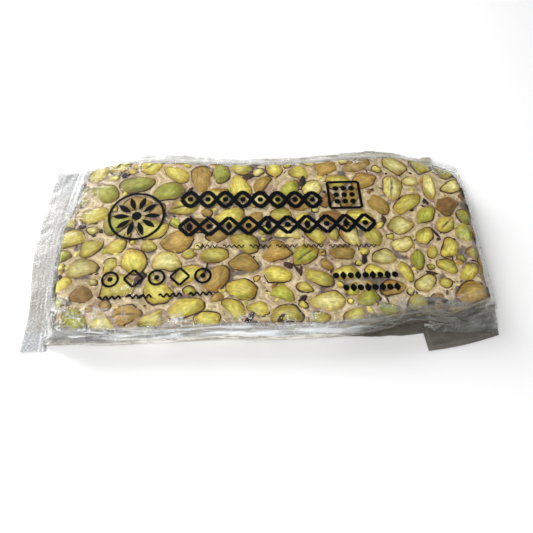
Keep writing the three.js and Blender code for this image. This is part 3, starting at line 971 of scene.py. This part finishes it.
FILM_LEVEL = 15.2
FILM_FOOT = 0.1
SHOULDER_LOW = 13.1
SHOULDER_HIGH = 14.6
EDGE_WRINKLE_REACH = 11.0
PINCH_HEIGHT = 1.2
SIDE_CREASE = 0.5
CALM_CREASE = 0.22
FILM_LOWEST = 0.06
SHEET_LOWEST = 0.03
# Where the film over the top face is crumpled: place, reach along and across, haze
CRUMPLES = (
    (96, 37.5, 11, 5, 0.8),
    (-78, -41, 14, 5.5, 0.85),
    (-90, -38, 6, 7, 0.85),
    (-7, -43, 6, 2.6, 0.8),
    (12, -43.5, 5, 2.4, 0.7),
    (25, -43, 4, 2.4, 0.8),
    (58, -39, 12, 3.4, 0.45),
    (86, -39, 9, 4, 0.5),
    (-38, -42.5, 9, 2.8, 0.6),
    (55, 41, 6, 4, 0.75),
    (-60, -29, 6, 4, 0.35),
    (100, -2, 4, 16, 0.25),
    (-86, 24, 5, 12, 0.4),
    (-5, 41, 12, 4, 0.3),
)
# Painted highlights along long fold lines on the near wall: height, how far they wander up and down, half
# width, seed
FOLD_HIGHLIGHTS = ((12.6, 0.8, 0.45, 86), (9.8, 1.0, 0.4, 88), (2.6, 0.6, 0.5, 90))


def ridged(x, y, cell, seed):
    """Noise from -1 to 1 with sharp crests, like pinched film."""
    return 1 - np.abs(noise(x, y, cell, seed)) * 2


def crumpled(x, y):
    """How crumpled the film over the top face is, from 0 to 0.85."""
    total = 0 * x
    for at_x, at_y, reach_x, reach_y, haze in CRUMPLES:
        total = total + haze * np.exp(-((x - at_x) / reach_x) ** 2 - ((y - at_y) / reach_y) ** 2)
    return np.clip(total, 0, 0.85)


def fold_highlights(x, z):
    """Strength from 0 to 1 of the painted highlights along the long folds of the near wall."""
    total = 0 * x
    for height, wander, half, seed in FOLD_HIGHLIGHTS:
        middle = height + wander * noise(x, 0 * x, 15.0, seed)
        here = smooth(noise(x, 0 * x, 9.0, seed + 1) * 1.6 + 0.4)
        total = np.maximum(total, here * np.exp(-((z - middle) / half) ** 2))
    return total


def film_top(x, y):
    """Height of the film over the top face: nearly flat, with wrinkles towards the edges."""
    wrinkled = 0.12 + 0.88 * (1 - smooth(edge_distance(x, y) / EDGE_WRINKLE_REACH))
    sag = noise(x, y, 7.0, 31) * 0.07
    wrinkle = 0.16 * noise(x, y, 3.4, 32) + 0.1 * noise(x, y, 1.7, 33)
    pinch = crumpled(x, y) * ridged(x * 0.7 + y * 0.5, y - x * 0.2, 3.4, 34) ** 2
    return FILM_LEVEL + sag + wrinkled * wrinkle + PINCH_HEIGHT * pinch


def top_crease(x, y):
    """How strongly the film is creased over the top face, from its middle to its edges."""
    return 0.04 + 0.3 * (1 - smooth(edge_distance(x, y) / EDGE_WRINKLE_REACH)) + 0.9 * crumpled(x, y)


# Section of the film across the bar, as corners to pass through in order.
# Each is (share of near edge, of far edge, of margin edge, offset, height, zone, steps to the next)
SECTION = (
    (1, 0, 0, -2.6, FILM_FOOT, "near", 4),
    (1, 0, 0, -2.8, 1.4, "near", 9),
    (1, 0, 0, -2.2, 6.6, "near", 3),
    (1, 0, 0, -2.9, 8.0, "near", 4),
    (1, 0, 0, -1.7, 9.4, "near", 7),
    (1, 0, 0, -0.7, SHOULDER_LOW, "near", 4),
    (1, 0, 0, -0.1, SHOULDER_HIGH, "shoulder", 4),
    (1, 0, 0, 1.3, FILM_LEVEL, "top", 118),
    (0, 1, 0, -1.3, FILM_LEVEL, "top", 3),
    (0, 1, 0, 0.1, SHOULDER_HIGH, "shoulder", 3),
    (0, 1, 0, 0.6, SHOULDER_LOW, "far", 4),
    (0, 1, 0, 1.5, 10.2, "margin", 10),
    (0, 0, 1, -0.2, 8.0, "margin", 2),
    (0, 0, 1, 0.0, 7.6, "margin", 2),
    (0, 0, 1, -0.2, 7.2, "margin", 9),
    (0, 1, 0, 1.5, 5.0, "margin", 5),
    (0, 1, 0, 0.5, 0.3, "bottom", 2),
    (0, 1, 0, -0.8, FILM_FOOT, "bottom", 44),
)
# The film's zones, and how strong the pinched lines of painted highlight are in each
ZONE_PINCH_GLINTS = {"near": 0.25, "shoulder": 0.4, "top": 0.0, "far": 0.2, "margin": 0.15, "bottom": 0.1}
ZONES = tuple(ZONE_PINCH_GLINTS)
# Cross-sections of the film down to the end seal, over the bar and at the right end, where it closes
SLOPE_STATIONS = 17
TOP_STATIONS = 290
CLOSING_STATIONS = 10
CLOSING_LOW = 7.0
CLOSING_HIGH = 8.0


def section_table():
    """The section's points as shares of edges, offsets, heights and zones, one row for each point around."""
    rows = []
    for i, (near, far, edge, offset, height, zone, steps) in enumerate(SECTION):
        following = SECTION[(i + 1) % len(SECTION)]
        for step in range(steps):
            share = step / steps
            values = [mix(a, b, share) for a, b in zip((near, far, edge, offset, height), following[:5])]
            rows.append([*values, ZONES.index(zone if share < 0.5 else following[5])])
    return np.array(rows)


def station(fin=0, left=0, right=0, end=0, shift=0, low=FILM_FOOT, high=FILM_LEVEL, slope=0, closing=0):
    """A cross-section of the film.

    fin, left, right and end are its shares of the end seal's inner edge, the slab's two ends and the film's
    right end. low and high are its heights. slope and closing say how far it is down the left slope and
    into the right end.
    """
    return fin, left, right, end, shift, low, high, slope, closing


def film_stations():
    """The film's cross-sections from left to right."""
    stations = []
    for t in np.linspace(0, 1, SLOPE_STATIONS):
        high = mix(0.9, SHOULDER_LOW, t**1.15)
        stations.append(station(fin=1 - t, left=t, shift=-0.4 * t, high=high, slope=1 - t))
    stations.append(station(left=1, shift=0.1, high=SHOULDER_HIGH))
    for share in np.linspace(0.0065, 0.9935, TOP_STATIONS):
        stations.append(station(left=1 - share, right=share))
    stations.append(station(right=1, shift=-0.1, high=SHOULDER_HIGH, closing=0.1))
    stations.append(station(right=1, shift=0.5, high=SHOULDER_LOW, closing=0.2))
    for t in np.linspace(0.25, 1, CLOSING_STATIONS):
        low = mix(FILM_FOOT, CLOSING_LOW, smooth(t) ** 2)
        high = mix(SHOULDER_LOW, CLOSING_HIGH, t**1.3)
        stations.append(station(right=1 - t, end=t, shift=0.3 * (1 - t), low=low, high=high, closing=t))
    return np.array(stations)


CLOUD_WHITE = srgb(232, 236, 238)
# White of painted highlights
GLINT_WHITE = srgb(250, 251, 250)
CLOUD_BLUISH = srgb(214, 218, 221)
CLOUD_BEIGE = srgb(230, 226, 214)
# CLOUD_GREY and CLOUD_TAUPE give the painted shade of the near wall's lower right; CLOUD_GREY is also the
# film's grey elsewhere
CLOUD_GREY = srgb(106, 105, 97)
CLOUD_TAUPE = srgb(86, 79, 68)
CLOUD_SAND = srgb(190, 182, 164)
CLOUD_OLIVE = srgb(138, 128, 90)
# Along the bar, the film's cloudiness goes from pale to a painted shade between these two
PAINTED_SHADE_FROM = 28
PAINTED_SHADE_FULL = 54
# Left of this, the near wall is more creased
NEAR_LEFT = -60


def film_clouds(x, y, z, zones, slope, closing):
    """Colour and strength of the film's cloudiness, and the strength of its pinched lines, which are painted
    highlights.

    It is pale on the left, with painted highlights along the near wall's folds, and grey and taupe on the
    lower right, which is painted shade.
    """
    near, shoulder, top, far, margin, bottom = (zones[name] for name in ZONES)
    # Painted shade along the bar: grey on the near wall and taupe at its foot, full on the lower right
    shaded = smooth((x - PAINTED_SHADE_FROM) / (PAINTED_SHADE_FULL - PAINTED_SHADE_FROM))
    low_half = smooth((9.0 + 1.3 * noise(x, z, 6.0, 50) - z) / 2.4)
    wall = blended(CLOUD_BLUISH, shaded, CLOUD_GREY)
    foot = blended(CLOUD_BEIGE, shaded, CLOUD_TAUPE)
    cloud = np.where(near[..., None], blended(wall, low_half, foot), CLOUD_WHITE)
    margin_shade = mix(0.3, 0.75, smooth((x + 40) / 90)) + 0.25 * noise(x, y, 5.0, 53)
    cloud = blended(cloud, np.clip(margin_shade, 0, 1) * margin, CLOUD_OLIVE)
    cloud = blended(cloud, 0.75 * smooth(closing * 3), CLOUD_GREY)
    cloud = blended(cloud, (0.55 + 0.4 * noise(y, x, 4.0, 58)) * smooth(slope * 8), CLOUD_SAND)
    far_right = np.exp(-((x - 98) / 12) ** 2 - ((y - 38) / 8) ** 2)
    cloud = blended(cloud, 0.6 * far_right, CLOUD_GREY)
    # Painted shade on the right, along the top's near edge
    near_edge_shade = shaded * smooth((slab_near(x) + 8 - y) / 7) * (top | shoulder)
    cloud = blended(cloud, 0.8 * near_edge_shade, CLOUD_GREY)
    near_left = smooth((NEAR_LEFT - x) / 14)
    cloud = blended(cloud, 0.55 * near_left * near, CLOUD_GREY)
    # Painted highlights along the near wall's folds, left of the painted shade
    fold_highlight = fold_highlights(x, z) * (1 - shaded) * near
    cloud = blended(cloud, fold_highlight, GLINT_WHITE)

    pinches = smooth((ridged(x, y, 3.2, 51) - 0.35) / 0.5) * (0.3 + 0.3 * noise(x, y, 1.6, 59))
    haze = 0.003 + 0.003 * smooth((20 - x) / 60) + crumpled(x, y) * pinches * top + 0.24 * near_edge_shade
    near_haze = mix(mix(0.56, 0.78, smooth((x + 60) / 60)), 0.6, shaded)
    near_haze = mix(near_haze, mix(0.8, 0.78, shaded), low_half)
    spots = noise(x, z * 1.4, 1.7, 52)
    for where, strength in (
        (shoulder, mix(0.28, 0.4, shaded)),
        (near, near_haze + 0.22 * spots * low_half),
        (far, 0.22),
        (margin, 0.46 + 0.22 * noise(x, y, 4.0, 54)),
        (bottom, 0.08),
        (slope > 0, 0.46 + 0.12 * slope + 0.2 * noise(y, x, 3.0, 55)),
        (closing > 0, 0.06 + 0.06 * closing + 0.08 * noise(y, z, 2.6, 56)),
    ):
        haze = np.where(where, strength, haze)
    haze = np.clip(haze + 0.5 * fold_highlight, 0, 1)

    # Pinched lines are painted highlights, fewer in the painted shade
    pinch_glint = sum(zones[name] * strength for name, strength in ZONE_PINCH_GLINTS.items()) * (1 - 0.7 * shaded)
    pinch_glint = np.where(top, 1.1 * crumpled(x, y), pinch_glint)
    pinch_glint = np.where(slope > 0, 0.5, pinch_glint)
    pinch_glint = np.where(closing > 0, 0.14, pinch_glint)
    return cloud, haze, pinch_glint + 0.6 * near_left * (near | shoulder)


def build_film():
    near_w, far_w, edge_w, offset, height, zone = section_table().T
    columns = film_stations().T
    fin_w, left_w, right_w, end_w, shift, low, high, slope, closing = (c[:, None] for c in columns)

    def place_x(y):
        return (fin_w * fin_inner(y) + left_w * slab_left(y) + right_w * slab_right(y)
                + end_w * film_right(y) + shift)

    middle = place_x(np.zeros((columns.shape[1], 1)))
    y = near_w * slab_near(middle) + far_w * slab_far(middle) + edge_w * margin_far(middle) + offset
    x = place_x(y)
    zones = {name: zone[None, :] + 0 * x == number for number, name in enumerate(ZONES)}
    slope, closing = slope + 0 * x, closing + 0 * x
    z = low + np.clip(height - FILM_FOOT, 0, None) * (high - low) / FILM_LEVEL
    full = (slope == 0) & (closing == 0)
    z = np.where(zones["top"] & full, film_top(x, y), z)

    folds = 0.9 * ridged(x, z, 11.0, 41) * smooth(z / 3) + 1.0 * ridged(x * 0.3 + z, z - x * 0.05, 2.6, 42)
    folds = folds + 0.6 * noise(x * 0.5 - z, z, 1.5, 47)
    envelope = np.sin(math.pi * np.clip(z / 13.9, 0, 1))
    y = np.where(zones["near"], y - 0.5 * envelope * folds * (1 - slope * 0.5), y)
    ripples = noise(x, y * 0.25, 4.2, 43) + 0.5 * noise(x, y * 0.4, 1.8, 44)
    reach = np.clip((y - slab_far(x)) / 8, 0, 1.2)
    z = np.where(zones["margin"], z + 0.7 * reach * ripples, z)
    y = np.where(zones["margin"], y + 0.35 * reach * noise(x, 0 * y, 4.5, 45), y)
    ridges = ridged(y, x * 0.35, 5.0, 46) + 0.6 * noise(y, x * 0.4, 1.8, 57)
    on_slope = (slope > 0) & (slope < 1) & (z > 0.6)
    z = np.where(on_slope, z + 0.5 * np.sin(math.pi * slope) * ridges, z)
    tucks = ridged(y, z * 0.6, 4.0, 48) + 0.6 * noise(y, z, 1.7, 49)
    x = np.where(closing > 0, x + 0.4 * np.sin(math.pi * np.clip(closing, 0, 1)) * tucks, x)
    z = np.maximum(z, FILM_LOWEST)

    cloud, haze, pinch_glint = film_clouds(x, y, z, zones, slope, closing)
    rows, count = z.shape
    points = np.stack([x, y, z], -1).reshape(-1, 3)
    faces = grid_faces(rows, count, close_columns=True)
    faces.append(list(range(count)))
    faces.append([(rows - 1) * count + i for i in reversed(range(count))])
    crease = np.where(zones["top"], top_crease(x, y), SIDE_CREASE)
    calm = zones["margin"] | (closing > 0) | (slope > 0) | zones["near"] & (x > PAINTED_SHADE_FULL)
    crease = np.where(calm, CALM_CREASE, crease)
    layers = {"haze": haze.ravel(), "cloud": cloud.reshape(-1, 3), "crease": crease.ravel(),
              "pinch_glint": pinch_glint.ravel()}
    piece = make_piece("pouch_film", points, faces, FILM, layers)
    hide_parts(NODE)


def sheet_body(name, x, y, z, thickness, material, haze, cloud, crease, pinch_glint=0.0):
    """A thin closed sheet over a grid of points, with its underside below it."""
    rows, columns = x.shape
    upper = np.stack([x, y, z], -1).reshape(-1, 3)
    lower = np.stack([x, y, np.maximum(z - thickness, SHEET_LOWEST)], -1).reshape(-1, 3)
    offset = rows * columns
    faces = grid_faces(rows, columns, flip=True)
    faces += [[i + offset for i in face] for face in grid_faces(rows, columns)]
    border = border_of(rows, columns)
    for a, b in zip(border, border[1:] + border[:1]):
        faces.append([a, a + offset, b + offset, b])
    layers = {"haze": np.tile(haze.ravel(), 2), "cloud": np.tile(cloud.reshape(-1, 3), (2, 1)),
              "crease": np.full(2 * offset, crease), "pinch_glint": np.full(2 * offset, pinch_glint)}
    make_piece(name, np.concatenate([upper, lower]), faces, material, layers)


SEAL_RIBS = 6
SEAL_THICKNESS = 0.3
SEAL_LEVEL = 0.42
SEAL_RIB_HEIGHT = 0.008
SEAL_CREASE = 0.07
SEAL_GREY = srgb(150, 142, 130)
SEAL_COOL = srgb(96, 102, 104)
SEAL_BLUISH = srgb(186, 192, 196)
# Painted highlights along the seal: where across it, and their half width, as shares of the seal's width
SEAL_PAINTED_GLINTS = ((0.27, 0.02), (0.12, 0.015))


def build_end_seal():
    """The flat heat-sealed end: two layers of film pressed together, with ribs along it."""
    across = np.linspace(0, 1, 40)[:, None]
    y = np.linspace(*FIN_ENDS, 150)[None, :] + 0 * across
    x = mix(fin_inner(y) + 1.5, fin_outer(y), across)
    rib_wave = np.sin(across * SEAL_RIBS * math.tau + 0.5 * noise(y, 0 * y, 14.0, 64))
    ribs = SEAL_RIB_HEIGHT * rib_wave * smooth(across * 6) * smooth((1 - across) * 8)
    waves = 0.30 + 0.24 * noise(y, x * 0.3, 11.0, 61) + 0.1 * noise(y, x, 3.0, 62)
    z = SEAL_LEVEL + ribs + waves * smooth(across * 1.4)
    streaks = noise(x * 2.0, y * 0.12, 1.6, 63)
    dots = noise(x, y, 1.1, 65) * smooth((5 - y) / 30)
    haze = np.clip(0.6 + 0.06 * streaks + 0.16 * dots + 0.1 * smooth((across - 0.8) / 0.15), 0, 1)
    cloud = blended(CLOUD_WHITE, np.clip(0.7 + 0.16 * streaks + 0.06 * rib_wave, 0, 1), SEAL_GREY)
    cloud = blended(cloud, 0.75 * smooth((y - 22) / 22), SEAL_COOL)
    smooth_band = np.maximum(smooth((0.26 - across) / 0.08), smooth((-39 - y) / 4))
    cloud = blended(cloud, 0.8 * smooth_band, SEAL_BLUISH)
    # Painted highlights: bright white lines along the seal
    painted_glint = sum(np.exp(-((across - at) / half) ** 2) for at, half in SEAL_PAINTED_GLINTS)
    painted_glint = painted_glint * smooth(noise(y, 0 * y, 12.0, 66) * 1.5 + 0.6)
    cloud = blended(cloud, np.clip(painted_glint, 0, 1), GLINT_WHITE)
    haze = np.clip(haze + 0.3 * painted_glint, 0, 1)
    sheet_body("end_seal", x, y, z, SEAL_THICKNESS, SEAL_FILM, haze, cloud, SEAL_CREASE)


# Left and right side of the flap, each from under the bar to its outer corner
FLAP_LEFT = ((75.6, -45.5), (76.5, -57.0))
FLAP_RIGHT = ((110.2, -40.0), (111.2, -50.8))
FLAP_SAG = 0.9
FLAP_THICKNESS = 0.28
FLAP_LEVEL = 0.65
FLAP_CREASE = 0.3
# FLAP_DARK is partly painted shade, where the bar shades the folded seal
FLAP_DARK = srgb(93, 88, 78)
FLAP_PALE = srgb(130, 126, 116)


def build_flap():
    """The corner of the folded end seal that sticks out from under the bar.

    Its dark grey-brown is partly the layered film's own colour, partly painted shade of the bar.
    """
    u, v = grid_shares(70, 30)
    x, y = along_line(along_line(*FLAP_LEFT, v), along_line(*FLAP_RIGHT, v), u)
    y = y - FLAP_SAG * np.sin(math.pi * u) * v
    seam = np.exp(-((v - 0.84) / 0.025) ** 2) + np.exp(-((u - 0.055) / 0.01) ** 2)
    waves = 0.2 * noise(x * 0.6, y * 1.2, 6.0, 71) + 0.08 * noise(x, y, 2.4, 72)
    lift = 2.0 * smooth((u - 0.86) / 0.14) * (1 - v)
    z = FLAP_LEVEL + 0.14 * seam + waves * smooth(v * 3) + lift
    haze = np.clip(0.8 + 0.08 * noise(x, y * 2, 4.0, 73) - 0.2 * smooth((u - 0.8) / 0.2), 0, 1)
    cloud = blended(FLAP_DARK, 0.3 + 0.25 * noise(x * 0.4, y * 2.0, 3.0, 74), FLAP_PALE)
    cloud = blended(cloud, np.clip(0.7 * seam, 0, 1), FLAP_PALE)
    sheet_body("folded_flap", x, y, z, FLAP_THICKNESS, FLAP_FILM, haze, cloud, FLAP_CREASE)


# Where the folded seal shows left of the flap: its outer edge
UNDERFOLD_EDGE = [(30, -47.2), (40, -48.6), (53, -49.1), (66, -49.0), (77, -48.7)]
UNDERFOLD_THICKNESS = 0.25
UNDERFOLD_LEVEL = 0.5
underfold_edge = curve_through(UNDERFOLD_EDGE)


def build_underfold():
    """The folded seal's edge, which shows as a dark strip from under the bar; its darkness is partly painted
    shade under the bar's near side.
    """
    x = np.linspace(UNDERFOLD_EDGE[0][0], UNDERFOLD_EDGE[-1][0], 60)[:, None]
    v = np.linspace(0, 1, 10)[None, :]
    y = mix(slab_near(x) - 1.2, underfold_edge(x), v) + 0.25 * noise(x, 0 * x, 5.0, 75) * v
    x = x + 0 * v
    z = UNDERFOLD_LEVEL + 0.35 * noise(x, y, 7.0, 76) ** 2 + 0.1 * v
    haze = np.clip(0.86 + 0.1 * noise(x, y * 3, 4.0, 77), 0, 1)
    cloud = blended(FLAP_DARK, 0.3 + 0.3 * noise(x, y, 3.0, 78), FLAP_PALE)
    sheet_body("seal_underfold", x, y, z, UNDERFOLD_THICKNESS, FLAP_FILM, haze, cloud, FLAP_CREASE)


# The web of film from the near wall down to the flap: its edge on the wall and its edge on the flap
WEB_TOP_X = (77.5, 109.2)
WEB_FOOT_X = (77.0, 110.8)
WEB_FOOT_Y = (-45.6, -48.4, -50.0)
WEB_HIGH = 8.2
WEB_LOW = 1.3
WEB_THICKNESS = 0.2
WEB_CREASE = 0.3
WEB_PINCH_GLINT = 0.4


def build_corner_web():
    u, v = grid_shares(80, 26)
    x = mix(mix(*WEB_TOP_X, u), mix(*WEB_FOOT_X, u), v)
    foot = mix(mix(WEB_FOOT_Y[0], WEB_FOOT_Y[1], smooth(u / 0.2)), WEB_FOOT_Y[2], u)
    y = mix(slab_near(x) - 0.6 - 0.8 * smooth(u / 0.1), foot, v)
    pulls = ridged(x + y * 0.6, 0.3 * y, 5.0, 79) + 0.7 * noise(x - y, y * 0.5, 2.2, 80)
    z = mix(WEB_HIGH, WEB_LOW, v**0.8) + 0.6 * np.sin(math.pi * v) * pulls
    haze = 0.38 + 0.16 * noise(x * 0.4, y, 3.0, 84) + 0.2 * smooth((u - 0.9) / 0.1)
    haze = np.clip(haze, 0, 1) * smooth(u / 0.08)
    # The web's grey is partly painted shade of the near right corner, partly the film's own grey
    cloud = blended(CLOUD_GREY, 0.06 + 0.14 * noise(x * 0.5, y, 2.6, 85), CLOUD_WHITE)
    sheet_body("corner_web", x, y, z, WEB_THICKNESS, FILM, haze, cloud, WEB_CREASE, WEB_PINCH_GLINT)


# Generic print on the film: ornaments in place of words

INK_LIFT = 0.06
# Lines of points across a band, as shares of its half width
STROKE_PLACES = (-1, -0.33, 0.33, 1)


class PrintedInk(MeshParts):
    """Ornaments made of bands of ink that lie on the film."""

    def stroke(self, x, y, half, closed=False):
        """A band of the given half width along a line."""
        if closed:
            dx, dy = np.roll(x, -1) - np.roll(x, 1), np.roll(y, -1) - np.roll(y, 1)
        else:
            dx, dy = np.gradient(x), np.gradient(y)
        length = np.hypot(dx, dy)
        side_x, side_y = -dy / length, dx / length
        rows = []
        for place in STROKE_PLACES:
            px, py = x + side_x * half * place, y + side_y * half * place
            rows.append(np.stack([px, py, film_top(px, py) + INK_LIFT], -1))
        points = np.stack(rows, 1).reshape(-1, 3)
        self.add(points, grid_faces(len(x), len(rows), close_rows=closed, flip=True))

    def bar(self, start, end, width):
        """A bar with rounded ends between two points."""
        length = math.dist(start, end)
        radius = width / 2
        cap = np.linspace(0, 1, 5) ** 2 * radius / length
        middle = np.linspace(cap[-1], 1 - cap[-1], max(3, int(length)))
        share = np.concatenate([cap[:-1], middle, 1 - cap[-2::-1]])
        from_end = np.minimum(share, 1 - share) * length
        half = np.sqrt(np.clip(radius**2 - np.clip(radius - from_end, 0, None) ** 2, 1e-4, None))
        self.stroke(*along_line(start, end, share), half)

    def ring(self, centre, radius, half):
        angle = np.linspace(0, math.tau, max(20, int(radius * 9)), endpoint=False)
        self.stroke(centre[0] + radius * np.cos(angle), centre[1] + radius * np.sin(angle), half, closed=True)

    def disc(self, centre, radius):
        self.ring(centre, radius / 2, radius / 2 * 0.99)

    def petal(self, start, end, half):
        """A lens-shaped solid stroke, pointed at both ends."""
        share = np.linspace(0, 1, 13)
        self.stroke(*along_line(start, end, share), half * np.clip(np.sin(math.pi * share), 0.03, None))

    def upright_petal(self, centre, reach, half):
        self.petal((centre[0], centre[1] - reach), (centre[0], centre[1] + reach), half)

    def square(self, centre, radius, turn, half):
        corners = [(centre[0] + radius * math.cos(turn + i / 4 * math.tau),
                    centre[1] + radius * math.sin(turn + i / 4 * math.tau)) for i in range(4)]
        for corner, after in zip(corners, corners[1:] + corners[:1]):
            self.bar(corner, after, half * 2)

    def ripples(self, start, end, wavelength, half, runs, gap):
        """Runs of small waves with gaps between them, which read as a line of small print from far away."""
        total = RIPPLE_RUN * runs + gap * (runs - 1)
        at = 0.0
        for _ in range(runs):
            steps = max(12, int(RIPPLE_RUN / wavelength * 10))
            share = np.linspace(at / total, (at + RIPPLE_RUN) / total, steps)
            x, y = along_line(start, end, share)
            wave = np.sin((share * total - at) / wavelength * math.tau)
            self.stroke(x, y + RIPPLE_HEIGHT * wave, half)
            at += RIPPLE_RUN + gap

    def braid(self, start, end, amplitude, turns, half):
        """Two waves that cross each other, with a dot in each eye."""
        share = np.linspace(0, 1, turns * 40)
        x, middle = along_line(start, end, share)
        for sign in (1, -1):
            self.stroke(x, middle + sign * amplitude * np.sin(share * turns * math.pi), half)
        for centre in row_of(start, end, turns):
            self.disc(centre, half * 1.25)

    def lozenges(self, start, end, radius, count, half):
        """A row of diamonds with a petal or a dot in each by turns."""
        for i, centre in enumerate(row_of(start, end, count)):
            self.square(centre, radius, 0.0, half)
            if i % 2:
                self.disc(centre, half * 1.5)
            else:
                self.upright_petal(centre, radius * 0.5, 1.5)

    def beads(self, start, end, count):
        """A row of solid discs and upright petals by turns."""
        for i, centre in enumerate(row_of(start, end, count)):
            if i % 2:
                self.upright_petal(centre, BEAD_RADIUS * 1.4, BEAD_RADIUS)
            else:
                self.disc(centre, BEAD_RADIUS)


def row_of(start, end, count):
    """Centres of equal cells along a line."""
    return [along_line(start, end, (i + 0.5) / count) for i in range(count)]


ROSETTE_CENTRE = (-59.0, 12.0)
ROSETTE_RADIUS = 13.2
ROSETTE_LINE = 0.62
ROSETTE_PETALS = 10
ROSETTE_PETAL_FROM = 3.6
ROSETTE_PETAL_TO = 11.6
BRAID = ((-37.4, 21.2), (32.6, 18.6))
LOZENGES = ((-37.8, 4.8), (57.8, 4.2))
RIPPLE_RUN = 10
RIPPLE_HEIGHT = 0.75
LONG_RIPPLES = ((-29.4, -6.2), (56.5, -9.0))
SHORT_RIPPLES = ((-72.4, -31.2), (-21.6, -30.6))
FRAMED_CENTRE = (44.7, 21.3)
FRAMED_RADIUS = 11.3
FRAMED_STEP = 4.0
RINGS = ((-68.0, -22.0), (-26.0, -21.6))
RING_LINE = 0.55
BEAD_RADIUS = 1.5
BEADS_ABOVE = ((33.4, -24.0), (64.2, -24.4))
BEADS_BELOW = ((37.4, -30.2), (64.2, -30.6))


def build_print():
    ink = PrintedInk()
    ink.ring(ROSETTE_CENTRE, ROSETTE_RADIUS, ROSETTE_LINE)
    ink.disc(ROSETTE_CENTRE, 2.4)
    for i in range(ROSETTE_PETALS):
        angle = i / ROSETTE_PETALS * math.tau
        tip = (ROSETTE_CENTRE[0] + math.cos(angle), ROSETTE_CENTRE[1] + math.sin(angle))
        ink.petal(along_line(ROSETTE_CENTRE, tip, ROSETTE_PETAL_FROM),
                  along_line(ROSETTE_CENTRE, tip, ROSETTE_PETAL_TO), 1.35)
    ink.braid(*BRAID, 4.2, 8, 1.15)
    ink.lozenges(*LOZENGES, 5.1, 10, 1.0)
    ink.ripples(*LONG_RIPPLES, 2.3, 0.24, 7, 2.4)
    ink.square(FRAMED_CENTRE, FRAMED_RADIUS, math.pi / 4, 0.7)
    for row in (-1, 0, 1):
        for column in (-1, 0, 1):
            ink.disc((FRAMED_CENTRE[0] + column * FRAMED_STEP, FRAMED_CENTRE[1] + row * FRAMED_STEP), 1.5)
    for i in range(5):
        centre = along_line(*RINGS, i / 4)
        if i % 2:
            ink.square(centre, 4.4, 0.0, RING_LINE)
        else:
            ink.ring(centre, 3.5, RING_LINE)
            ink.disc(centre, 1.2)
    ink.ripples(*SHORT_RIPPLES, 2.7, 0.42, 4, 3.0)
    ink.beads(*BEADS_ABOVE, 9)
    ink.beads(*BEADS_BELOW, 8)
    ink.piece("print_ink", INK, "print_ink")


build_nougat()
build_kernels()
build_film()
build_end_seal()
build_flap()
build_underfold()
build_corner_web()
build_print()


# Camera at the photograph's angle

PHOTO_SIZE = 533
FOCAL_PIXELS = 430
SENSOR_WIDTH = 36
CAMERA_TARGET = (3.34, -18.28, 15.5)
CAMERA_DISTANCE = 199.1
CAMERA_AZIMUTH = math.radians(-4.526)
CAMERA_ELEVATION = math.radians(63.184)
CAMERA_ROLL = math.radians(2.1)


def make_camera():
    data = bpy.data.cameras.new("camera")
    data.sensor_width = SENSOR_WIDTH
    data.lens = FOCAL_PIXELS / PHOTO_SIZE * SENSOR_WIDTH
    data.clip_start = 0.01
    data.clip_end = 20
    a, e = CAMERA_AZIMUTH, CAMERA_ELEVATION
    back = Vector((math.sin(a) * math.cos(e), -math.cos(a) * math.cos(e), math.sin(e)))
    right = (-back).cross(Vector((0, 0, 1))).normalized()
    up = right.cross(-back)
    right, up = (right * math.cos(CAMERA_ROLL) + up * math.sin(CAMERA_ROLL),
                 up * math.cos(CAMERA_ROLL) - right * math.sin(CAMERA_ROLL))
    place = (Vector(CAMERA_TARGET) + back * CAMERA_DISTANCE) * MILLIMETRE
    camera = bpy.data.objects.new("camera", data)
    camera.matrix_world = Matrix((
        (right.x, up.x, back.x, place.x),
        (right.y, up.y, back.y, place.y),
        (right.z, up.z, back.z, place.z),
        (0, 0, 0, 1),
    ))
    bpy.context.scene.collection.objects.link(camera)
    bpy.context.scene.camera = camera


# Floor and light

FLOOR_HALF = 2.0
FLOOR_WHITE = (srgb(250, 250, 250), srgb(248, 248, 248))
SKY_TOWARDS = (-0.46, 0.3, 0.83)
SKY_DIM = 0.14
SKY_BRIGHT = 0.44
# Lights that aim at the middle of the floor: name, place and size in metres, power
LIGHTS = (
    ("key", (-0.44, 0.5, 0.38), (0.42, 0.42), 6.4),
    ("sparkle", (-0.35, -0.45, 0.55), (0.13, 0.13), 1.7),
    ("overhead", (-0.27, -0.11, 0.86), (0.15, 0.15), 1.3),
    ("front", (-0.2, -0.8, 0.24), (0.6, 0.26), 2.1),
)


def make_light(name, place, size, power):
    data = bpy.data.lights.new(name, "AREA")
    data.shape = "RECTANGLE"
    data.size, data.size_y = size
    data.energy = power
    lamp = bpy.data.objects.new(name, data)
    lamp.location = place
    lamp.rotation_mode = "QUATERNION"
    lamp.rotation_quaternion = (-Vector(place)).to_track_quat("-Z", "Y")
    bpy.context.scene.collection.objects.link(lamp)


def make_sky():
    """White studio light all round, brightest from the upper left."""
    world = bpy.data.worlds.new("studio")
    graph = NodeGraph(world)
    direction = graph.add("ShaderNodeTexCoord", {}, "Generated")
    inputs = {0: direction, 1: SKY_TOWARDS}
    towards = graph.add("ShaderNodeVectorMath", inputs, "Value", operation="DOT_PRODUCT")
    background = graph.nodes["Background"]
    background.inputs["Color"].default_value = (1.0, 1.0, 1.0, 1.0)
    graph.links.new(graph.remap(towards, -0.6, 1.0, SKY_DIM, SKY_BRIGHT), background.inputs["Strength"])
    bpy.context.scene.world = world


def make_floor():
    corners = [(x * FLOOR_HALF, y * FLOOR_HALF, 0) for x, y in ((-1, -1), (1, -1), (1, 1), (-1, 1))]
    mesh = bpy.data.meshes.new("floor")
    mesh.from_pydata(corners, [], [(0, 1, 2, 3)])
    white = mottled_material("floor_white", *FLOOR_WHITE, roughness=0.8, scale=4, strength=0.0)
    mesh.materials.append(white)
    floor = bpy.data.objects.new("floor", mesh)
    bpy.context.scene.collection.objects.link(floor)


make_camera()
make_floor()
make_sky()
for light in LIGHTS:
    make_light(*light)
bpy.context.scene.view_settings.view_transform = "Standard"
